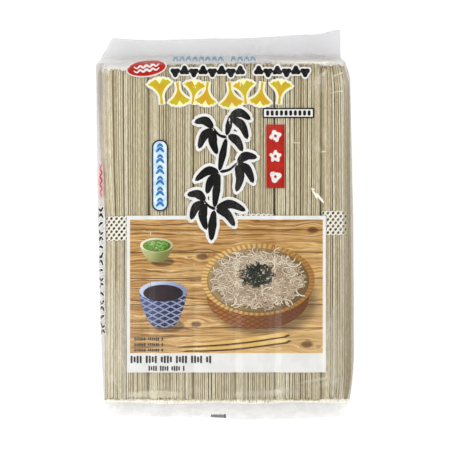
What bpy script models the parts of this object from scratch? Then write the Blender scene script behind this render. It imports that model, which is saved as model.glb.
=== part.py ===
"""A clear film bag of dried buckwheat noodles, lying on its back with its front up.

The bag holds twelve bundles of straight noodles, six across and two deep. The film is drawn tight over
them, so every bundle shows as a flat crown with a shallow valley beside it. Past the noodles' ends the film
drops over a steep shoulder, where its sides tuck in, and lies flat in a heat-sealed fin.

The frame is in metres. +Z points up, out of the front of the bag. +Y points to its top end. The origin is
the centre of the surface that the bag lies on.
"""

import math

import bmesh
import bpy

MM = 0.001

# The block of noodles
NOODLE_LENGTH = 235.0 * MM
BAG_DEPTH = 32.0 * MM  # two bundles and the film
BLOCK_SHIFT = -4.8 * MM  # the block's middle along Y, because the fin at the top is the longer one
FRONT_WIDTHS = [w * MM for w in (30.9, 31.3, 28.8, 27.4, 32.3, 20.9)]
BACK_WIDTHS = [w * MM for w in (29.4, 27.8, 28.6, 28.2, 29.8, 27.8)]
BLOCK_LEFT = -84.0 * MM

# The film over the bundles
VALLEY_DEPTH = 1.1 * MM
VALLEY_REACH = 4.6 * MM  # from the middle of a valley to the flat crown beside it
VALLEY_STEPS = (-1.0, -0.55, 0.0, 0.55, 1.0)  # shares of VALLEY_REACH, from one crown down and up to the next
CROWN_DROPS = [d * MM for d in (0.0, 0.25, 0.1, 0.5, 0.15, 0.6)]  # how much lower each front crown lies
END_STEPS = [s * MM for s in (-0.7, 1.0, -0.5, 0.9, -0.9, 0.2)]  # how much longer each front bundle is
SEAM_BRIDGE = 3  # the back's middle valley, which the folded-over seam bridges level with the crowns

# The sides of the film, which belly out past the block at half the depth
SIDE_WIDEST = 91.1 * MM
LEFT_SLIP = 5.3 * MM  # the left side bellies most at the top end
RIGHT_SLIP = 3.2 * MM  # the right side bellies most near the bottom end
RIGHT_WIDEST_AT = -88.0 * MM
RIGHT_ROUNDING = 2.9 * MM  # and then draws in this much before the bottom end
SIDE_ROUND = 4.0 * MM  # how far the side's curve reaches in over the block
SIDE_SQUARENESS = 2.7  # 2 is an ellipse, more is squarer
CORNER_REACH = 12.0 * MM  # the right side draws in over this length before the top end
CORNER_DRAW = 2.6 * MM
TOP_CORNER_HASTE = 2.2  # how much sooner than the fin the right side comes in to the fin's corner

# The ends of the film
FIN_THICKNESS = 0.8 * MM
TOP_SHOULDER = 7.0 * MM
BOTTOM_SHOULDER = 4.6 * MM
TUCK_DEPTH = 2.0 * MM  # how far the sides fold in, half-way down a shoulder
END_CLEARANCE = 0.6 * MM  # film past the noodles' ends, before the shoulder
TOP_EDGE = [(x * MM, y * MM) for x, y in ((-80, 132.4), (-46, 131.0), (0, 131.8), (62, 134.0), (81.5, 137.8))]
BOTTOM_EDGE = [(x * MM, y * MM) for x, y in ((-80, -135.2), (-18, -136.1), (18, -137.8), (80, -136.6))]
BOTTOM_CORNERS = (-72.0 * MM, 76.0 * MM)  # where the bottom fin's straight edge starts and ends
TOP_FIN_HEIGHT = 15.5 * MM
TOP_FIN_RISE = 3.9 * MM  # how much higher the top fin lies at its right end than in the middle
BOTTOM_FIN_HEIGHT = 12.0 * MM
FIN_WAVE = 1.3 * MM
FIN_WAVES = 2.3  # ripples across the width
FINS_LOOK_FROM = 2.0 * MM  # past the noodles' ends, where the film stops showing noodles

# How finely the surface is divided
BODY_RINGS = 12
SHOULDER_RINGS = 7
FIN_RINGS = 4
SIDE_STEPS = 12


def blend(a, b, share):
    return a + (b - a) * share


def ease_out(share):
    """0 to 1, quick at first and level at the end."""
    share = min(max(share, 0.0), 1.0)
    return 1.0 - (1.0 - share) ** 2


def through(points, x):
    """The height at x of a smooth curve through points, level past its ends."""
    if x <= points[0][0]:
        return points[0][1]
    for i, (right_x, right_y) in enumerate(points[1:], 1):
        left_x, left_y = points[i - 1]
        if x <= right_x:
            share = (x - left_x) / (right_x - left_x)
            return blend(left_y, right_y, share * share * (3.0 - 2.0 * share))
    return points[-1][1]


def valleys(widths):
    """Where the valleys between bundles lie, from left to right."""
    found = []
    x = BLOCK_LEFT
    for width in widths[:-1]:
        x += width
        found.append(x)
    return found


FRONT_VALLEYS = valleys(FRONT_WIDTHS)
BACK_VALLEYS = valleys(BACK_WIDTHS)
OPEN_BACK_VALLEYS = [x for i, x in enumerate(BACK_VALLEYS, 1) if i != SEAM_BRIDGE]
BLOCK_RIGHT = BLOCK_LEFT + sum(FRONT_WIDTHS)
BLOCK_TOP = BLOCK_SHIFT + NOODLE_LENGTH / 2
BLOCK_BOTTOM = BLOCK_SHIFT - NOODLE_LENGTH / 2
CROWN_LEFT = BLOCK_LEFT + SIDE_ROUND
CROWN_RIGHT = BLOCK_RIGHT - 2 * SIDE_ROUND  # the last bundle's outer edge is the rounder one


def valley_share(x, places):
    """1 in the middle of a valley and exactly 0 on the crowns."""
    near = min(abs(x - place) for place in places) / VALLEY_REACH
    return (1.0 - near * near) ** 2 if near < 1.0 else 0.0


def per_bundle(values, x):
    """Each front bundle's own value at its middle, blended between bundles."""
    middles = []
    start = BLOCK_LEFT
    for width, value in zip(FRONT_WIDTHS, values):
        middles.append((start + width / 2, value))
        start += width
    return through(middles, x)


def left_side(y):
    """The left outline at half the depth."""
    share = (y - BLOCK_BOTTOM) / (BLOCK_TOP - BLOCK_BOTTOM)
    return -SIDE_WIDEST + LEFT_SLIP * (1.0 - ease_out(share))


def right_side(y):
    """The right outline at half the depth: it bellies out downwards and then rounds in to the bottom end."""
    if y < RIGHT_WIDEST_AT:
        share = (RIGHT_WIDEST_AT - y) / (RIGHT_WIDEST_AT - BLOCK_BOTTOM)
        return SIDE_WIDEST - RIGHT_ROUNDING * share * share
    share = (BLOCK_TOP - y) / (BLOCK_TOP - RIGHT_WIDEST_AT)
    corner = max(0.0, 1.0 - (BLOCK_TOP - y) / CORNER_REACH)
    return SIDE_WIDEST - RIGHT_SLIP * (1.0 - ease_out(share)) - CORNER_DRAW * corner * corner


def crown_places(middles):
    """The X places of a face's points, from the left curve to the right one, closest in the valleys."""
    places = [CROWN_LEFT]
    for middle in middles:
        near_edge = middle - VALLEY_REACH
        places.append((places[-1] + near_edge) / 2)
        places += [middle + step * VALLEY_REACH for step in VALLEY_STEPS]
    return places + [(places[-1] + CROWN_RIGHT) / 2, CROWN_RIGHT]


def side_curve(crown_x, edge_x):
    """A squared half-ellipse from the front crown round the side at edge_x to the back, as (x, share of depth)."""
    points = []
    for step in range(1, SIDE_STEPS):
        angle = math.pi * step / SIDE_STEPS
        across = abs(math.sin(angle)) ** (2.0 / SIDE_SQUARENESS)
        up = math.copysign(abs(math.cos(angle)) ** (2.0 / SIDE_SQUARENESS), math.cos(angle))
        points.append((blend(crown_x, edge_x, across), 0.5 + 0.5 * up))
    return points


def tuck_share(share_of_depth):
    """How much of the tuck a point of a side takes: all at half the depth, none at the front and the back."""
    return (1.0 - abs(2.0 * share_of_depth - 1.0)) ** 2


def section(y):
    """One closed section across the filled bag at y, as (x, z, tuck), starting at the left of the front.

    The front and the back have the same number of points, and so do the two sides.
    """
    points = []
    for x in crown_places(FRONT_VALLEYS):
        drop = per_bundle(CROWN_DROPS, x) + VALLEY_DEPTH * valley_share(x, FRONT_VALLEYS)
        points.append((x, BAG_DEPTH - drop, 0.0))
    last_drop = per_bundle(CROWN_DROPS, CROWN_RIGHT)
    for x, share in side_curve(CROWN_RIGHT, right_side(y)):
        points.append((x, (BAG_DEPTH - last_drop) * share, tuck_share(share)))
    for x in reversed(crown_places(BACK_VALLEYS)):
        points.append((x, VALLEY_DEPTH * valley_share(x, OPEN_BACK_VALLEYS), 0.0))
    for x, share in reversed(side_curve(CROWN_LEFT, left_side(y))):
        points.append((x, BAG_DEPTH * share, tuck_share(share)))
    return points


def fin_height(x, at_top):
    """The middle of a fin's thickness, which ripples and, at the top end, rises to the right."""
    ripple = FIN_WAVE * math.sin(FIN_WAVES * math.pi * x / SIDE_WIDEST)
    if at_top:
        return TOP_FIN_HEIGHT + TOP_FIN_RISE * x / SIDE_WIDEST - ripple
    return BOTTOM_FIN_HEIGHT + ripple


def end_limits(share, at_top):
    """The outline's left and right ends at a share of the way from the noodles to a fin's free edge."""
    if at_top:
        left = blend(left_side(BLOCK_TOP), TOP_EDGE[0][0], share)
        right = blend(right_side(BLOCK_TOP), TOP_EDGE[-1][0], ease_out(TOP_CORNER_HASTE * share))
        return left, right
    corner = 1.0 - math.sqrt(1.0 - share * share)  # both bottom corners are rounded
    left = blend(left_side(BLOCK_BOTTOM), BOTTOM_CORNERS[0], corner)
    right = blend(right_side(BLOCK_BOTTOM), BOTTOM_CORNERS[1], corner)
    return left, right


def end_ring(base, along, flatness, share, at_top):
    """A ring past the noodles' ends.

    base is the section where the noodles end. along(x) is the ring's Y at x, flatness runs from 0, full
    depth, to 1, the fin, and share runs from 0 at the noodles' ends to 1 at the fin's free edge.
    """
    base_left = min(x for x, _, _ in base)
    base_right = max(x for x, _, _ in base)
    left, right = end_limits(share, at_top)
    squeeze = blend(1.0, FIN_THICKNESS / BAG_DEPTH, flatness)
    folding = TUCK_DEPTH * math.sin(math.pi * flatness) if flatness < 1.0 else 0.0
    ring = []
    for x, z, tuck in base:
        across = (x - base_left) / (base_right - base_left)
        new_x = blend(left, right, across)
        new_x += math.copysign(folding * tuck, 0.5 - across)
        middle = blend(BAG_DEPTH / 2, fin_height(new_x, at_top), flatness)
        ring.append((new_x, along(new_x), middle + (z - BAG_DEPTH / 2) * squeeze))
    return ring


def end_rings(at_top):
    """The rings of a shoulder and a fin, from the noodles' ends outwards."""
    way = 1.0 if at_top else -1.0
    block_end = BLOCK_TOP if at_top else BLOCK_BOTTOM
    shoulder = TOP_SHOULDER if at_top else BOTTOM_SHOULDER
    edge = TOP_EDGE if at_top else BOTTOM_EDGE
    start = block_end + way * END_CLEARANCE
    base = section(block_end)

    def step_out(x):
        return way * per_bundle(END_STEPS, x)

    def fin_start(x):
        return start + way * shoulder + 0.5 * step_out(x)

    rings = []
    shoulder_share = shoulder / abs(edge[0][1] - start)
    for i in range(SHOULDER_RINGS):
        part = i / SHOULDER_RINGS
        flatness = 0.5 - 0.5 * math.cos(math.pi * part)

        def along(x, part=part):
            return start + way * shoulder * part + step_out(x) * blend(1.0, 0.5, part)

        rings.append(end_ring(base, along, flatness, shoulder_share * part, at_top))
    for i in range(FIN_RINGS + 1):
        part = i / FIN_RINGS

        def along(x, part=part):
            return blend(fin_start(x), through(edge, x), part)

        rings.append(end_ring(base, along, 1.0, blend(shoulder_share, 1.0, part), at_top))
    return rings


def body_rings():
    """The rings along the noodles, from just inside the bottom end to just inside the top end."""
    rings = []
    for i in range(1, BODY_RINGS):
        y = blend(BLOCK_BOTTOM, BLOCK_TOP, i / BODY_RINGS)
        rings.append([(x, y, z) for x, z, _ in section(y)])
    return rings


def close_fin(bm, loop):
    """Closes a fin's free edge with a strip between its front points and the back points behind them."""
    count = len(loop)
    left_middle = count - SIDE_STEPS // 2
    upper = [loop[(left_middle + i) % count] for i in range(count // 2 + 1)]
    lower = [loop[(left_middle - i) % count] for i in range(count // 2 + 1)]
    for i in range(count // 2):
        corners = (upper[i], upper[i + 1], lower[i + 1], lower[i])
        bm.faces.new(dict.fromkeys(corners))  # the strip's two ends are triangles


def bag_mesh():
    """The whole bag as one closed skin, lofted through rings from the bottom fin's edge to the top fin's."""
    rings = list(reversed(end_rings(at_top=False))) + body_rings() + end_rings(at_top=True)
    bm = bmesh.new()
    loops = [[bm.verts.new(point) for point in ring] for ring in rings]
    count = len(rings[0])
    for lower, upper in zip(loops, loops[1:]):
        for i in range(count):
            j = (i + 1) % count
            bm.faces.new((lower[i], upper[i], upper[j], lower[j]))
    close_fin(bm, loops[0])
    close_fin(bm, loops[-1])
    bmesh.ops.recalc_face_normals(bm, faces=bm.faces)
    mesh = bpy.data.meshes.new("noodle_bag")
    bm.to_mesh(mesh)
    bm.free()
    return mesh


def material(name, colour, roughness):
    made = bpy.data.materials.new(name)
    made.use_nodes = True
    shader = made.node_tree.nodes["Principled BSDF"]
    shader.inputs["Base Color"].default_value = (*colour, 1.0)
    shader.inputs["Roughness"].default_value = roughness
    shader.inputs["Metallic"].default_value = 0.0
    return made


def paint(bag):
    """The film shows noodles over the block, and is pale grey in the fins."""
    bag.data.materials.append(material("noodles_under_film", (0.48, 0.42, 0.29), 0.3))
    bag.data.materials.append(material("sealed_film", (0.72, 0.72, 0.72), 0.2))
    for face in bag.data.polygons:
        y = face.center.y
        past_noodles = max(y - BLOCK_TOP, BLOCK_BOTTOM - y)
        face.material_index = 1 if past_noodles > FINS_LOOK_FROM else 0


def main():
    for leftover in list(bpy.data.objects):
        bpy.data.objects.remove(leftover, do_unlink=True)
    pack = bpy.data.collections.new("noodle_pack")
    bpy.context.scene.collection.children.link(pack)
    bag = bpy.data.objects.new("noodle_bag", bag_mesh())
    pack.objects.link(bag)
    paint(bag)
    bag.data.shade_smooth()
    bag.data.set_sharp_from_angle(angle=math.radians(40.0))


main()
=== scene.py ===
# %% [markdown]
# # A clear pack of dried buckwheat noodles
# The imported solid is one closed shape, which is all that a collision test needs. The real pack is a skin
# of clear film over bundles of straight noodles, each bundle held by a paper band, with the design printed
# on the inside of the film. This lesson builds those pieces in the solid's place and gives each one a
# finish made of nodes. The film's form comes first, because everything else has to fit under it.

# %% Load the frame
import math
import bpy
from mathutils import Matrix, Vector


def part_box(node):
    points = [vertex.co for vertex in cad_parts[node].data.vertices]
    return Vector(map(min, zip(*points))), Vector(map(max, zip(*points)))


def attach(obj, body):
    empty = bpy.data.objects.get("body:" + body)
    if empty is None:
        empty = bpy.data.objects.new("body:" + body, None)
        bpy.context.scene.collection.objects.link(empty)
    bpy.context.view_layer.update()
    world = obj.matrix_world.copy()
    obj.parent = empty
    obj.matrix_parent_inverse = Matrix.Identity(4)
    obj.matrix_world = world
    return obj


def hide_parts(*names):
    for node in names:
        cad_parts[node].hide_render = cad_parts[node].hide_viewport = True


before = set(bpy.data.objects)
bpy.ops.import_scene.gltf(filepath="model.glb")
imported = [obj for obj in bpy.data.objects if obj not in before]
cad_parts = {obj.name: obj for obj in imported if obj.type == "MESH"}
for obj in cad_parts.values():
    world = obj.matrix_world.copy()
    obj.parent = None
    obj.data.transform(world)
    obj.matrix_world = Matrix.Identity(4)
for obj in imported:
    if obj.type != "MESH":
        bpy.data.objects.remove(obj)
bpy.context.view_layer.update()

from types import SimpleNamespace

import bmesh
import bpy
import numpy as np
from mathutils import Matrix, Vector, noise
from mathutils.bvhtree import BVHTree

MM = 0.001
BAG = "noodle_bag"
BODY = "root"
bag_low, bag_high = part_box(BAG)
print("the solid measures, in mm:", [round(side / MM, 1) for side in bag_high - bag_low])

# %% [markdown]
# ## Two small helpers for node trees
# Node trees are easier to read as arithmetic. `Wire` wraps one output of a node, and using it in a sum
# adds a Math node. `Net` wraps a tree, and its `add` makes any other node from its type, its settings and
# what goes into its sockets. The same two classes serve materials and Geometry Nodes, because Math nodes
# exist in both.


# %% Arithmetic on sockets
class Wire:
    """One output of a node, which can be used in arithmetic."""

    def __init__(self, net, socket):
        self.net = net
        self.socket = socket

    def __add__(self, other):
        return self.net.math("ADD", self, other)

    def __radd__(self, other):
        return self.net.math("ADD", other, self)

    def __sub__(self, other):
        return self.net.math("SUBTRACT", self, other)

    def __rsub__(self, other):
        return self.net.math("SUBTRACT", other, self)

    def __mul__(self, other):
        return self.net.math("MULTIPLY", self, other)

    def __rmul__(self, other):
        return self.net.math("MULTIPLY", other, self)

    def __truediv__(self, other):
        return self.net.math("DIVIDE", self, other)

    def __pow__(self, other):
        return self.net.math("POWER", self, other)

    def __abs__(self):
        return self.net.math("ABSOLUTE", self)

    def least(self, other):
        return self.net.math("MINIMUM", self, other)

    def most(self, other):
        return self.net.math("MAXIMUM", self, other)

    def wrap(self, period):
        """Distance from the nearest whole multiple of period, with its sign."""
        return self.net.math("WRAP", self, period / 2, -period / 2)

    def step(self, start, end):
        """0 below start, 1 above end and smooth between, or the other way round if end is less than start."""
        low, high = min(start, end), max(start, end)
        to = (0.0, 1.0) if start < end else (1.0, 0.0)
        values = {"Value": self, "From Min": low, "From Max": high, "To Min": to[0], "To Max": to[1]}
        return self.net.add("ShaderNodeMapRange", {"interpolation_type": "SMOOTHSTEP"}, values)


# %% A helper for whole trees
class Net:
    """A node tree in the making."""

    def __init__(self, tree):
        self.tree = tree

    def join(self, value, socket):
        if isinstance(value, Wire):
            self.tree.links.new(value.socket, socket)
        else:
            socket.default_value = value

    def add(self, kind, settings=None, inputs=None, output=0):
        """Makes a node. A colour ramp's stops are set like its other settings, before its sockets."""
        node = self.tree.nodes.new(kind)
        for name, value in (settings or {}).items():
            if name == "stops":
                ramp = node.color_ramp.elements
                while len(ramp) < len(value):
                    ramp.new(1.0)
                for element, (place, colour) in zip(ramp, value):
                    element.position = place
                    element.color = (*colour, 1.0)
            else:
                setattr(node, name, value)
        for key, value in (inputs or {}).items():
            self.join(value, node.inputs[key])
        return Wire(self, node.outputs[output]) if node.outputs else None

    def math(self, operation, *values):
        return self.add("ShaderNodeMath", {"operation": operation}, dict(enumerate(values)))

    def mix(self, factor, first, second):
        """One colour blended into another. A colour is three numbers or a Wire."""
        pair = [value if isinstance(value, Wire) else (*value, 1.0) for value in (first, second)]
        inputs = {0: factor, 6: pair[0], 7: pair[1]}
        return self.add("ShaderNodeMix", {"data_type": "RGBA"}, inputs, output=2)


def strongest(masks):
    """The largest of several masks at each place."""
    best, *others = masks
    for mask in others:
        best = best.most(mask)
    return best


print("Wire and Net are ready")

# %% [markdown]
# ## Helpers for finishes
# Every finish ends in one Principled shader. `Finish` starts a material, gives the places that patterns
# are measured in, and closes it. Patterns read Object coordinates in metres, so their scales are real
# lengths.


# %% A material in the making
class Finish(Net):
    """A material and its node tree."""

    def __init__(self, name):
        self.material = bpy.data.materials.new(name)
        self.material.use_nodes = True
        super().__init__(self.material.node_tree)
        self.tree.nodes.clear()
        self.place = self.add("ShaderNodeTexCoord", output="Object")

    def axes(self, vector=None):
        """The three parts of a place, in millimetres."""
        split = self.tree.nodes.new("ShaderNodeSeparateXYZ")
        self.join(vector or self.place, split.inputs[0])
        return [Wire(self, out) * (1 / MM) for out in split.outputs]

    def grain(self, sizes, detail=2.0, seed=0.0, vector=None):
        """Noise from 0 to 1 whose features are about sizes long, in millimetres along X, Y and Z."""
        shift = {"Location": (seed, seed * 0.7, -seed), "Scale": [1 / (size * MM) for size in sizes]}
        moved = self.add("ShaderNodeMapping", None, {"Vector": vector or self.place, **shift})
        return self.add("ShaderNodeTexNoise", None, {"Vector": moved, "Scale": 1.0, "Detail": detail})

    def glaze(self, colour, layers):
        """Lays further colours over one. Each layer is a mask and a colour."""
        for mask, other in layers:
            colour = self.mix(mask, colour, other)
        return colour

    def close(self, colour, roughness, bump=None, depth=0.0, alpha=None, **constants):
        """Ends the tree in a Principled shader. depth is the height in metres of bump's whole range."""
        inputs = {"Base Color": colour if isinstance(colour, Wire) else (*colour, 1.0)}
        inputs["Roughness"] = roughness
        if alpha is not None:
            inputs["Alpha"] = alpha
        if bump is not None:
            relief = {"Height": bump, "Distance": depth, "Strength": 1.0}
            inputs["Normal"] = self.add("ShaderNodeBump", None, relief)
        for name, value in constants.items():
            inputs[name.replace("_", " ")] = value
        shader = self.add("ShaderNodeBsdfPrincipled", None, inputs)
        self.add("ShaderNodeOutputMaterial", None, {"Surface": shader})
        return self.material


def srgb(red, green, blue):
    """Three numbers of 0 to 255, as on a colour card, made linear."""
    shares = [value / 255 for value in (red, green, blue)]
    return tuple(s / 12.92 if s <= 0.04045 else ((s + 0.055) / 1.055) ** 2.4 for s in shares)


print("noodle beige is", [round(c, 3) for c in srgb(196, 184, 152)])

# %% [markdown]
# ## The form of the pack
# The film's form is the solid's, so its sizes are repeated here in millimetres: the widths of the bundles,
# how far the film sinks between them, how the sides belly out, and how the ends close into fins. The
# overall sizes are read from the frame.

# %% Sizes of the block and its film
NOODLE_LENGTH = 235.0
BLOCK_SHIFT = -4.8
BLOCK_LEFT = -84.0
FRONT_WIDTHS = (30.9, 31.3, 28.8, 27.4, 32.3, 20.9)
BACK_WIDTHS = (29.4, 27.8, 28.6, 28.2, 29.8, 27.8)
CROWN_DROPS = (0.0, 0.25, 0.1, 0.5, 0.15, 0.6)
END_STEPS = (-0.7, 1.0, -0.5, 0.9, -0.9, 0.2)
VALLEY_DEPTH = 1.1
VALLEY_REACH = 4.6
SEAM_BRIDGE = 3
SIDE_ROUND = 4.0
SIDE_SQUARENESS = 2.7
LEFT_SLIP = 5.3
RIGHT_SLIP = 3.2
RIGHT_WIDEST_AT = -88.0
RIGHT_ROUNDING = 2.9
CORNER_REACH = 12.0
CORNER_DRAW = 2.6
SIDE_MARGIN = 0.25  # the film's ripples stay inside the solid
SIDE_WIDEST = bag_high.x / MM - SIDE_MARGIN
BAG_DEPTH = (bag_high.z - bag_low.z) / MM
BLOCK_TOP = BLOCK_SHIFT + NOODLE_LENGTH / 2
BLOCK_BOTTOM = BLOCK_SHIFT - NOODLE_LENGTH / 2
CROWN_LEFT = BLOCK_LEFT + SIDE_ROUND
CROWN_RIGHT = BLOCK_LEFT + sum(FRONT_WIDTHS) - 2 * SIDE_ROUND


def edges(widths):
    """The left and right edge of each bundle in a row."""
    ends = BLOCK_LEFT + np.cumsum((0.0, *widths))
    return list(zip(ends[:-1], ends[1:]))


FRONT_EDGES = edges(FRONT_WIDTHS)
BACK_EDGES = edges(BACK_WIDTHS)
FRONT_MIDDLES = [(left + right) / 2 for left, right in FRONT_EDGES]
FRONT_VALLEYS = [right for _, right in FRONT_EDGES[:-1]]
BACK_VALLEYS = [right for i, (_, right) in enumerate(BACK_EDGES[:-1], 1) if i != SEAM_BRIDGE]
print("front bundles start at", [round(left, 1) for left, _ in FRONT_EDGES])


# %% The film's curves
def smooth(places, values, x):
    """A smooth curve through the values at the places, level past both ends."""
    places, values, x = (np.asarray(part, float) for part in (places, values, x))
    i = np.clip(np.searchsorted(places, x) - 1, 0, len(places) - 2)
    share = np.clip((x - places[i]) / (places[i + 1] - places[i]), 0, 1)
    return values[i] + (values[i + 1] - values[i]) * share * share * (3 - 2 * share)


def ease_out(share):
    return 1 - (1 - np.clip(share, 0, 1)) ** 2


def valley(x, places):
    """1 in the middle of a valley and 0 on the crowns."""
    near = np.min([np.abs(x - place) for place in places], axis=0) / VALLEY_REACH
    return np.where(near < 1, (1 - near**2) ** 2, 0)


def front_height(x):
    drop = smooth(FRONT_MIDDLES, CROWN_DROPS, x)
    return BAG_DEPTH - drop - VALLEY_DEPTH * valley(x, FRONT_VALLEYS)


def back_height(x):
    return VALLEY_DEPTH * valley(x, BACK_VALLEYS)


def left_side(y):
    return -SIDE_WIDEST + LEFT_SLIP * (1 - ease_out((y - BLOCK_BOTTOM) / NOODLE_LENGTH))


def right_side(y):
    if y < RIGHT_WIDEST_AT:
        share = (RIGHT_WIDEST_AT - y) / (RIGHT_WIDEST_AT - BLOCK_BOTTOM)
        return SIDE_WIDEST - RIGHT_ROUNDING * share * share
    corner = max(0.0, 1 - (BLOCK_TOP - y) / CORNER_REACH)
    share = (BLOCK_TOP - y) / (BLOCK_TOP - RIGHT_WIDEST_AT)
    return SIDE_WIDEST - RIGHT_SLIP * (1 - ease_out(share)) - CORNER_DRAW * corner * corner


print("the sides lie at", round(float(left_side(0.0)), 1), "and", round(float(right_side(0.0)), 1))

# %% [markdown]
# ## Film
# The film could be a copy of the solid's own mesh, but those triangles are too coarse for wrinkles. It is
# lofted again instead, on closer rings with closer points. Each ring goes round the pack: the front from
# left to right, down the right side, back along the back and up the left side. Past the noodles' ends the
# rings flatten, the sides tuck in, and the last rings are the fin.

# %% Rings of the film
FRONT_POINTS = 149
BACK_POINTS = 75
SIDE_POINTS = 17
ROW_GAP = 1.25
front_x = np.linspace(CROWN_LEFT, CROWN_RIGHT, FRONT_POINTS)
back_x = np.linspace(CROWN_RIGHT, CROWN_LEFT, BACK_POINTS)
side_angle = np.pi * np.arange(1, SIDE_POINTS + 1) / (SIDE_POINTS + 1)
side_out = np.sin(side_angle) ** (2 / SIDE_SQUARENESS)
side_up = 0.5 + 0.5 * np.sign(np.cos(side_angle)) * np.abs(np.cos(side_angle)) ** (2 / SIDE_SQUARENESS)
side_tuck = (1 - np.abs(2 * side_up - 1)) ** 2
tuck = np.concatenate([0 * front_x, side_tuck, 0 * back_x, side_tuck[::-1]])


def section(y):
    """X and Z of one ring round the filled pack."""
    right = CROWN_RIGHT + (right_side(y) - CROWN_RIGHT) * side_out
    left = CROWN_LEFT + (left_side(y) - CROWN_LEFT) * side_out
    x = np.concatenate([front_x, right, back_x, left[::-1]])
    right_z = front_height(CROWN_RIGHT) * side_up
    z = np.concatenate([front_height(front_x), right_z, back_height(back_x), BAG_DEPTH * side_up[::-1]])
    return x, z


FIN_THICKNESS = 0.8
SHOULDER_ROWS = 14
FIN_ROWS = 12
TUCK_DEPTH = 2.0
END_CLEARANCE = 0.6  # from the noodles' ends to the start of the shoulder
SLANT_LOST = 0.5  # the share of the noodles' uneven ends that the shoulder smooths out
ENDS = {
    "top": {
        "way": 1,
        "block_end": BLOCK_TOP,
        "shoulder": 7.0,
        "edge": ((-80, -46, 0, 62, 81.5), (132.4, 131.0, 131.8, 134.0, bag_high.y / MM)),
    },
    "bottom": {
        "way": -1,
        "block_end": BLOCK_BOTTOM,
        "shoulder": 4.6,
        "edge": ((-80, -18, 18, 80), (-135.2, -136.1, bag_low.y / MM, -136.6)),
    },
}
TOP_FIN_HEIGHT = 15.5
TOP_FIN_RISE = 3.9
BOTTOM_FIN_HEIGHT = 12.0
FIN_WAVE = 1.3
FIN_WAVES = 2.3
TOP_CORNER_HASTE = 2.2  # how much sooner than the fin's edge its right corner is reached
BOTTOM_CORNERS = (-72, 76)


def fin_height(x, end):
    ripple = FIN_WAVE * np.sin(FIN_WAVES * np.pi * x / SIDE_WIDEST)
    if end == "top":
        return TOP_FIN_HEIGHT + TOP_FIN_RISE * x / SIDE_WIDEST - ripple
    return BOTTOM_FIN_HEIGHT + ripple


def fin_limits(share, end):
    """The left and right ends of the outline, from the noodles, share 0, to the fin's free edge, share 1."""
    left, right = (side(ENDS[end]["block_end"]) for side in (left_side, right_side))
    if end == "top":
        left_end, *_, right_end = ENDS["top"]["edge"][0]
        hasty = ease_out(TOP_CORNER_HASTE * share)
        return left + (left_end - left) * share, right + (right_end - right) * hasty
    corner = 1 - math.sqrt(1 - share * share)
    return left + (BOTTOM_CORNERS[0] - left) * corner, right + (BOTTOM_CORNERS[1] - right) * corner


def end_rings(end):
    """The rings of a shoulder and a fin, outwards."""
    way, block_end, shoulder, (edge_x, edge_y) = ENDS[end].values()
    start = block_end + way * END_CLEARANCE
    base_x, base_z = section(block_end)
    across = (base_x - base_x.min()) / (base_x.max() - base_x.min())
    shoulder_share = shoulder / abs(edge_y[0] - start)
    steps = [(i / SHOULDER_ROWS, None) for i in range(SHOULDER_ROWS)]
    steps += [(1.0, i / FIN_ROWS) for i in range(FIN_ROWS + 1)]
    for part, fin_part in steps:
        share = shoulder_share * part + (1 - shoulder_share) * (fin_part or 0.0)
        flatness = 0.5 - 0.5 * math.cos(math.pi * part)
        left, right = fin_limits(share, end)
        x = left + (right - left) * across
        x += np.sign(0.5 - across) * tuck * TUCK_DEPTH * math.sin(math.pi * flatness)
        y = start + way * (shoulder * part + smooth(FRONT_MIDDLES, END_STEPS, x) * (1 - SLANT_LOST * part))
        if fin_part is not None:
            y += (smooth(edge_x, edge_y, x) - y) * fin_part
        squeeze = 1 + (FIN_THICKNESS / BAG_DEPTH - 1) * flatness
        middle = BAG_DEPTH / 2 + (fin_height(x, end) - BAG_DEPTH / 2) * flatness
        yield np.stack([x, y, middle + (base_z - BAG_DEPTH / 2) * squeeze], axis=1)


def body_rings():
    rows = round(NOODLE_LENGTH / ROW_GAP)
    for y in np.linspace(BLOCK_BOTTOM, BLOCK_TOP, rows + 1)[1:-1]:
        x, z = section(y)
        yield np.stack([x, np.full_like(x, y), z], axis=1)


rings = np.array([*reversed([*end_rings("bottom")]), *body_rings(), *end_rings("top")])
print("the film has", rings.shape[0], "rings of", rings.shape[1], "points")
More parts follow.
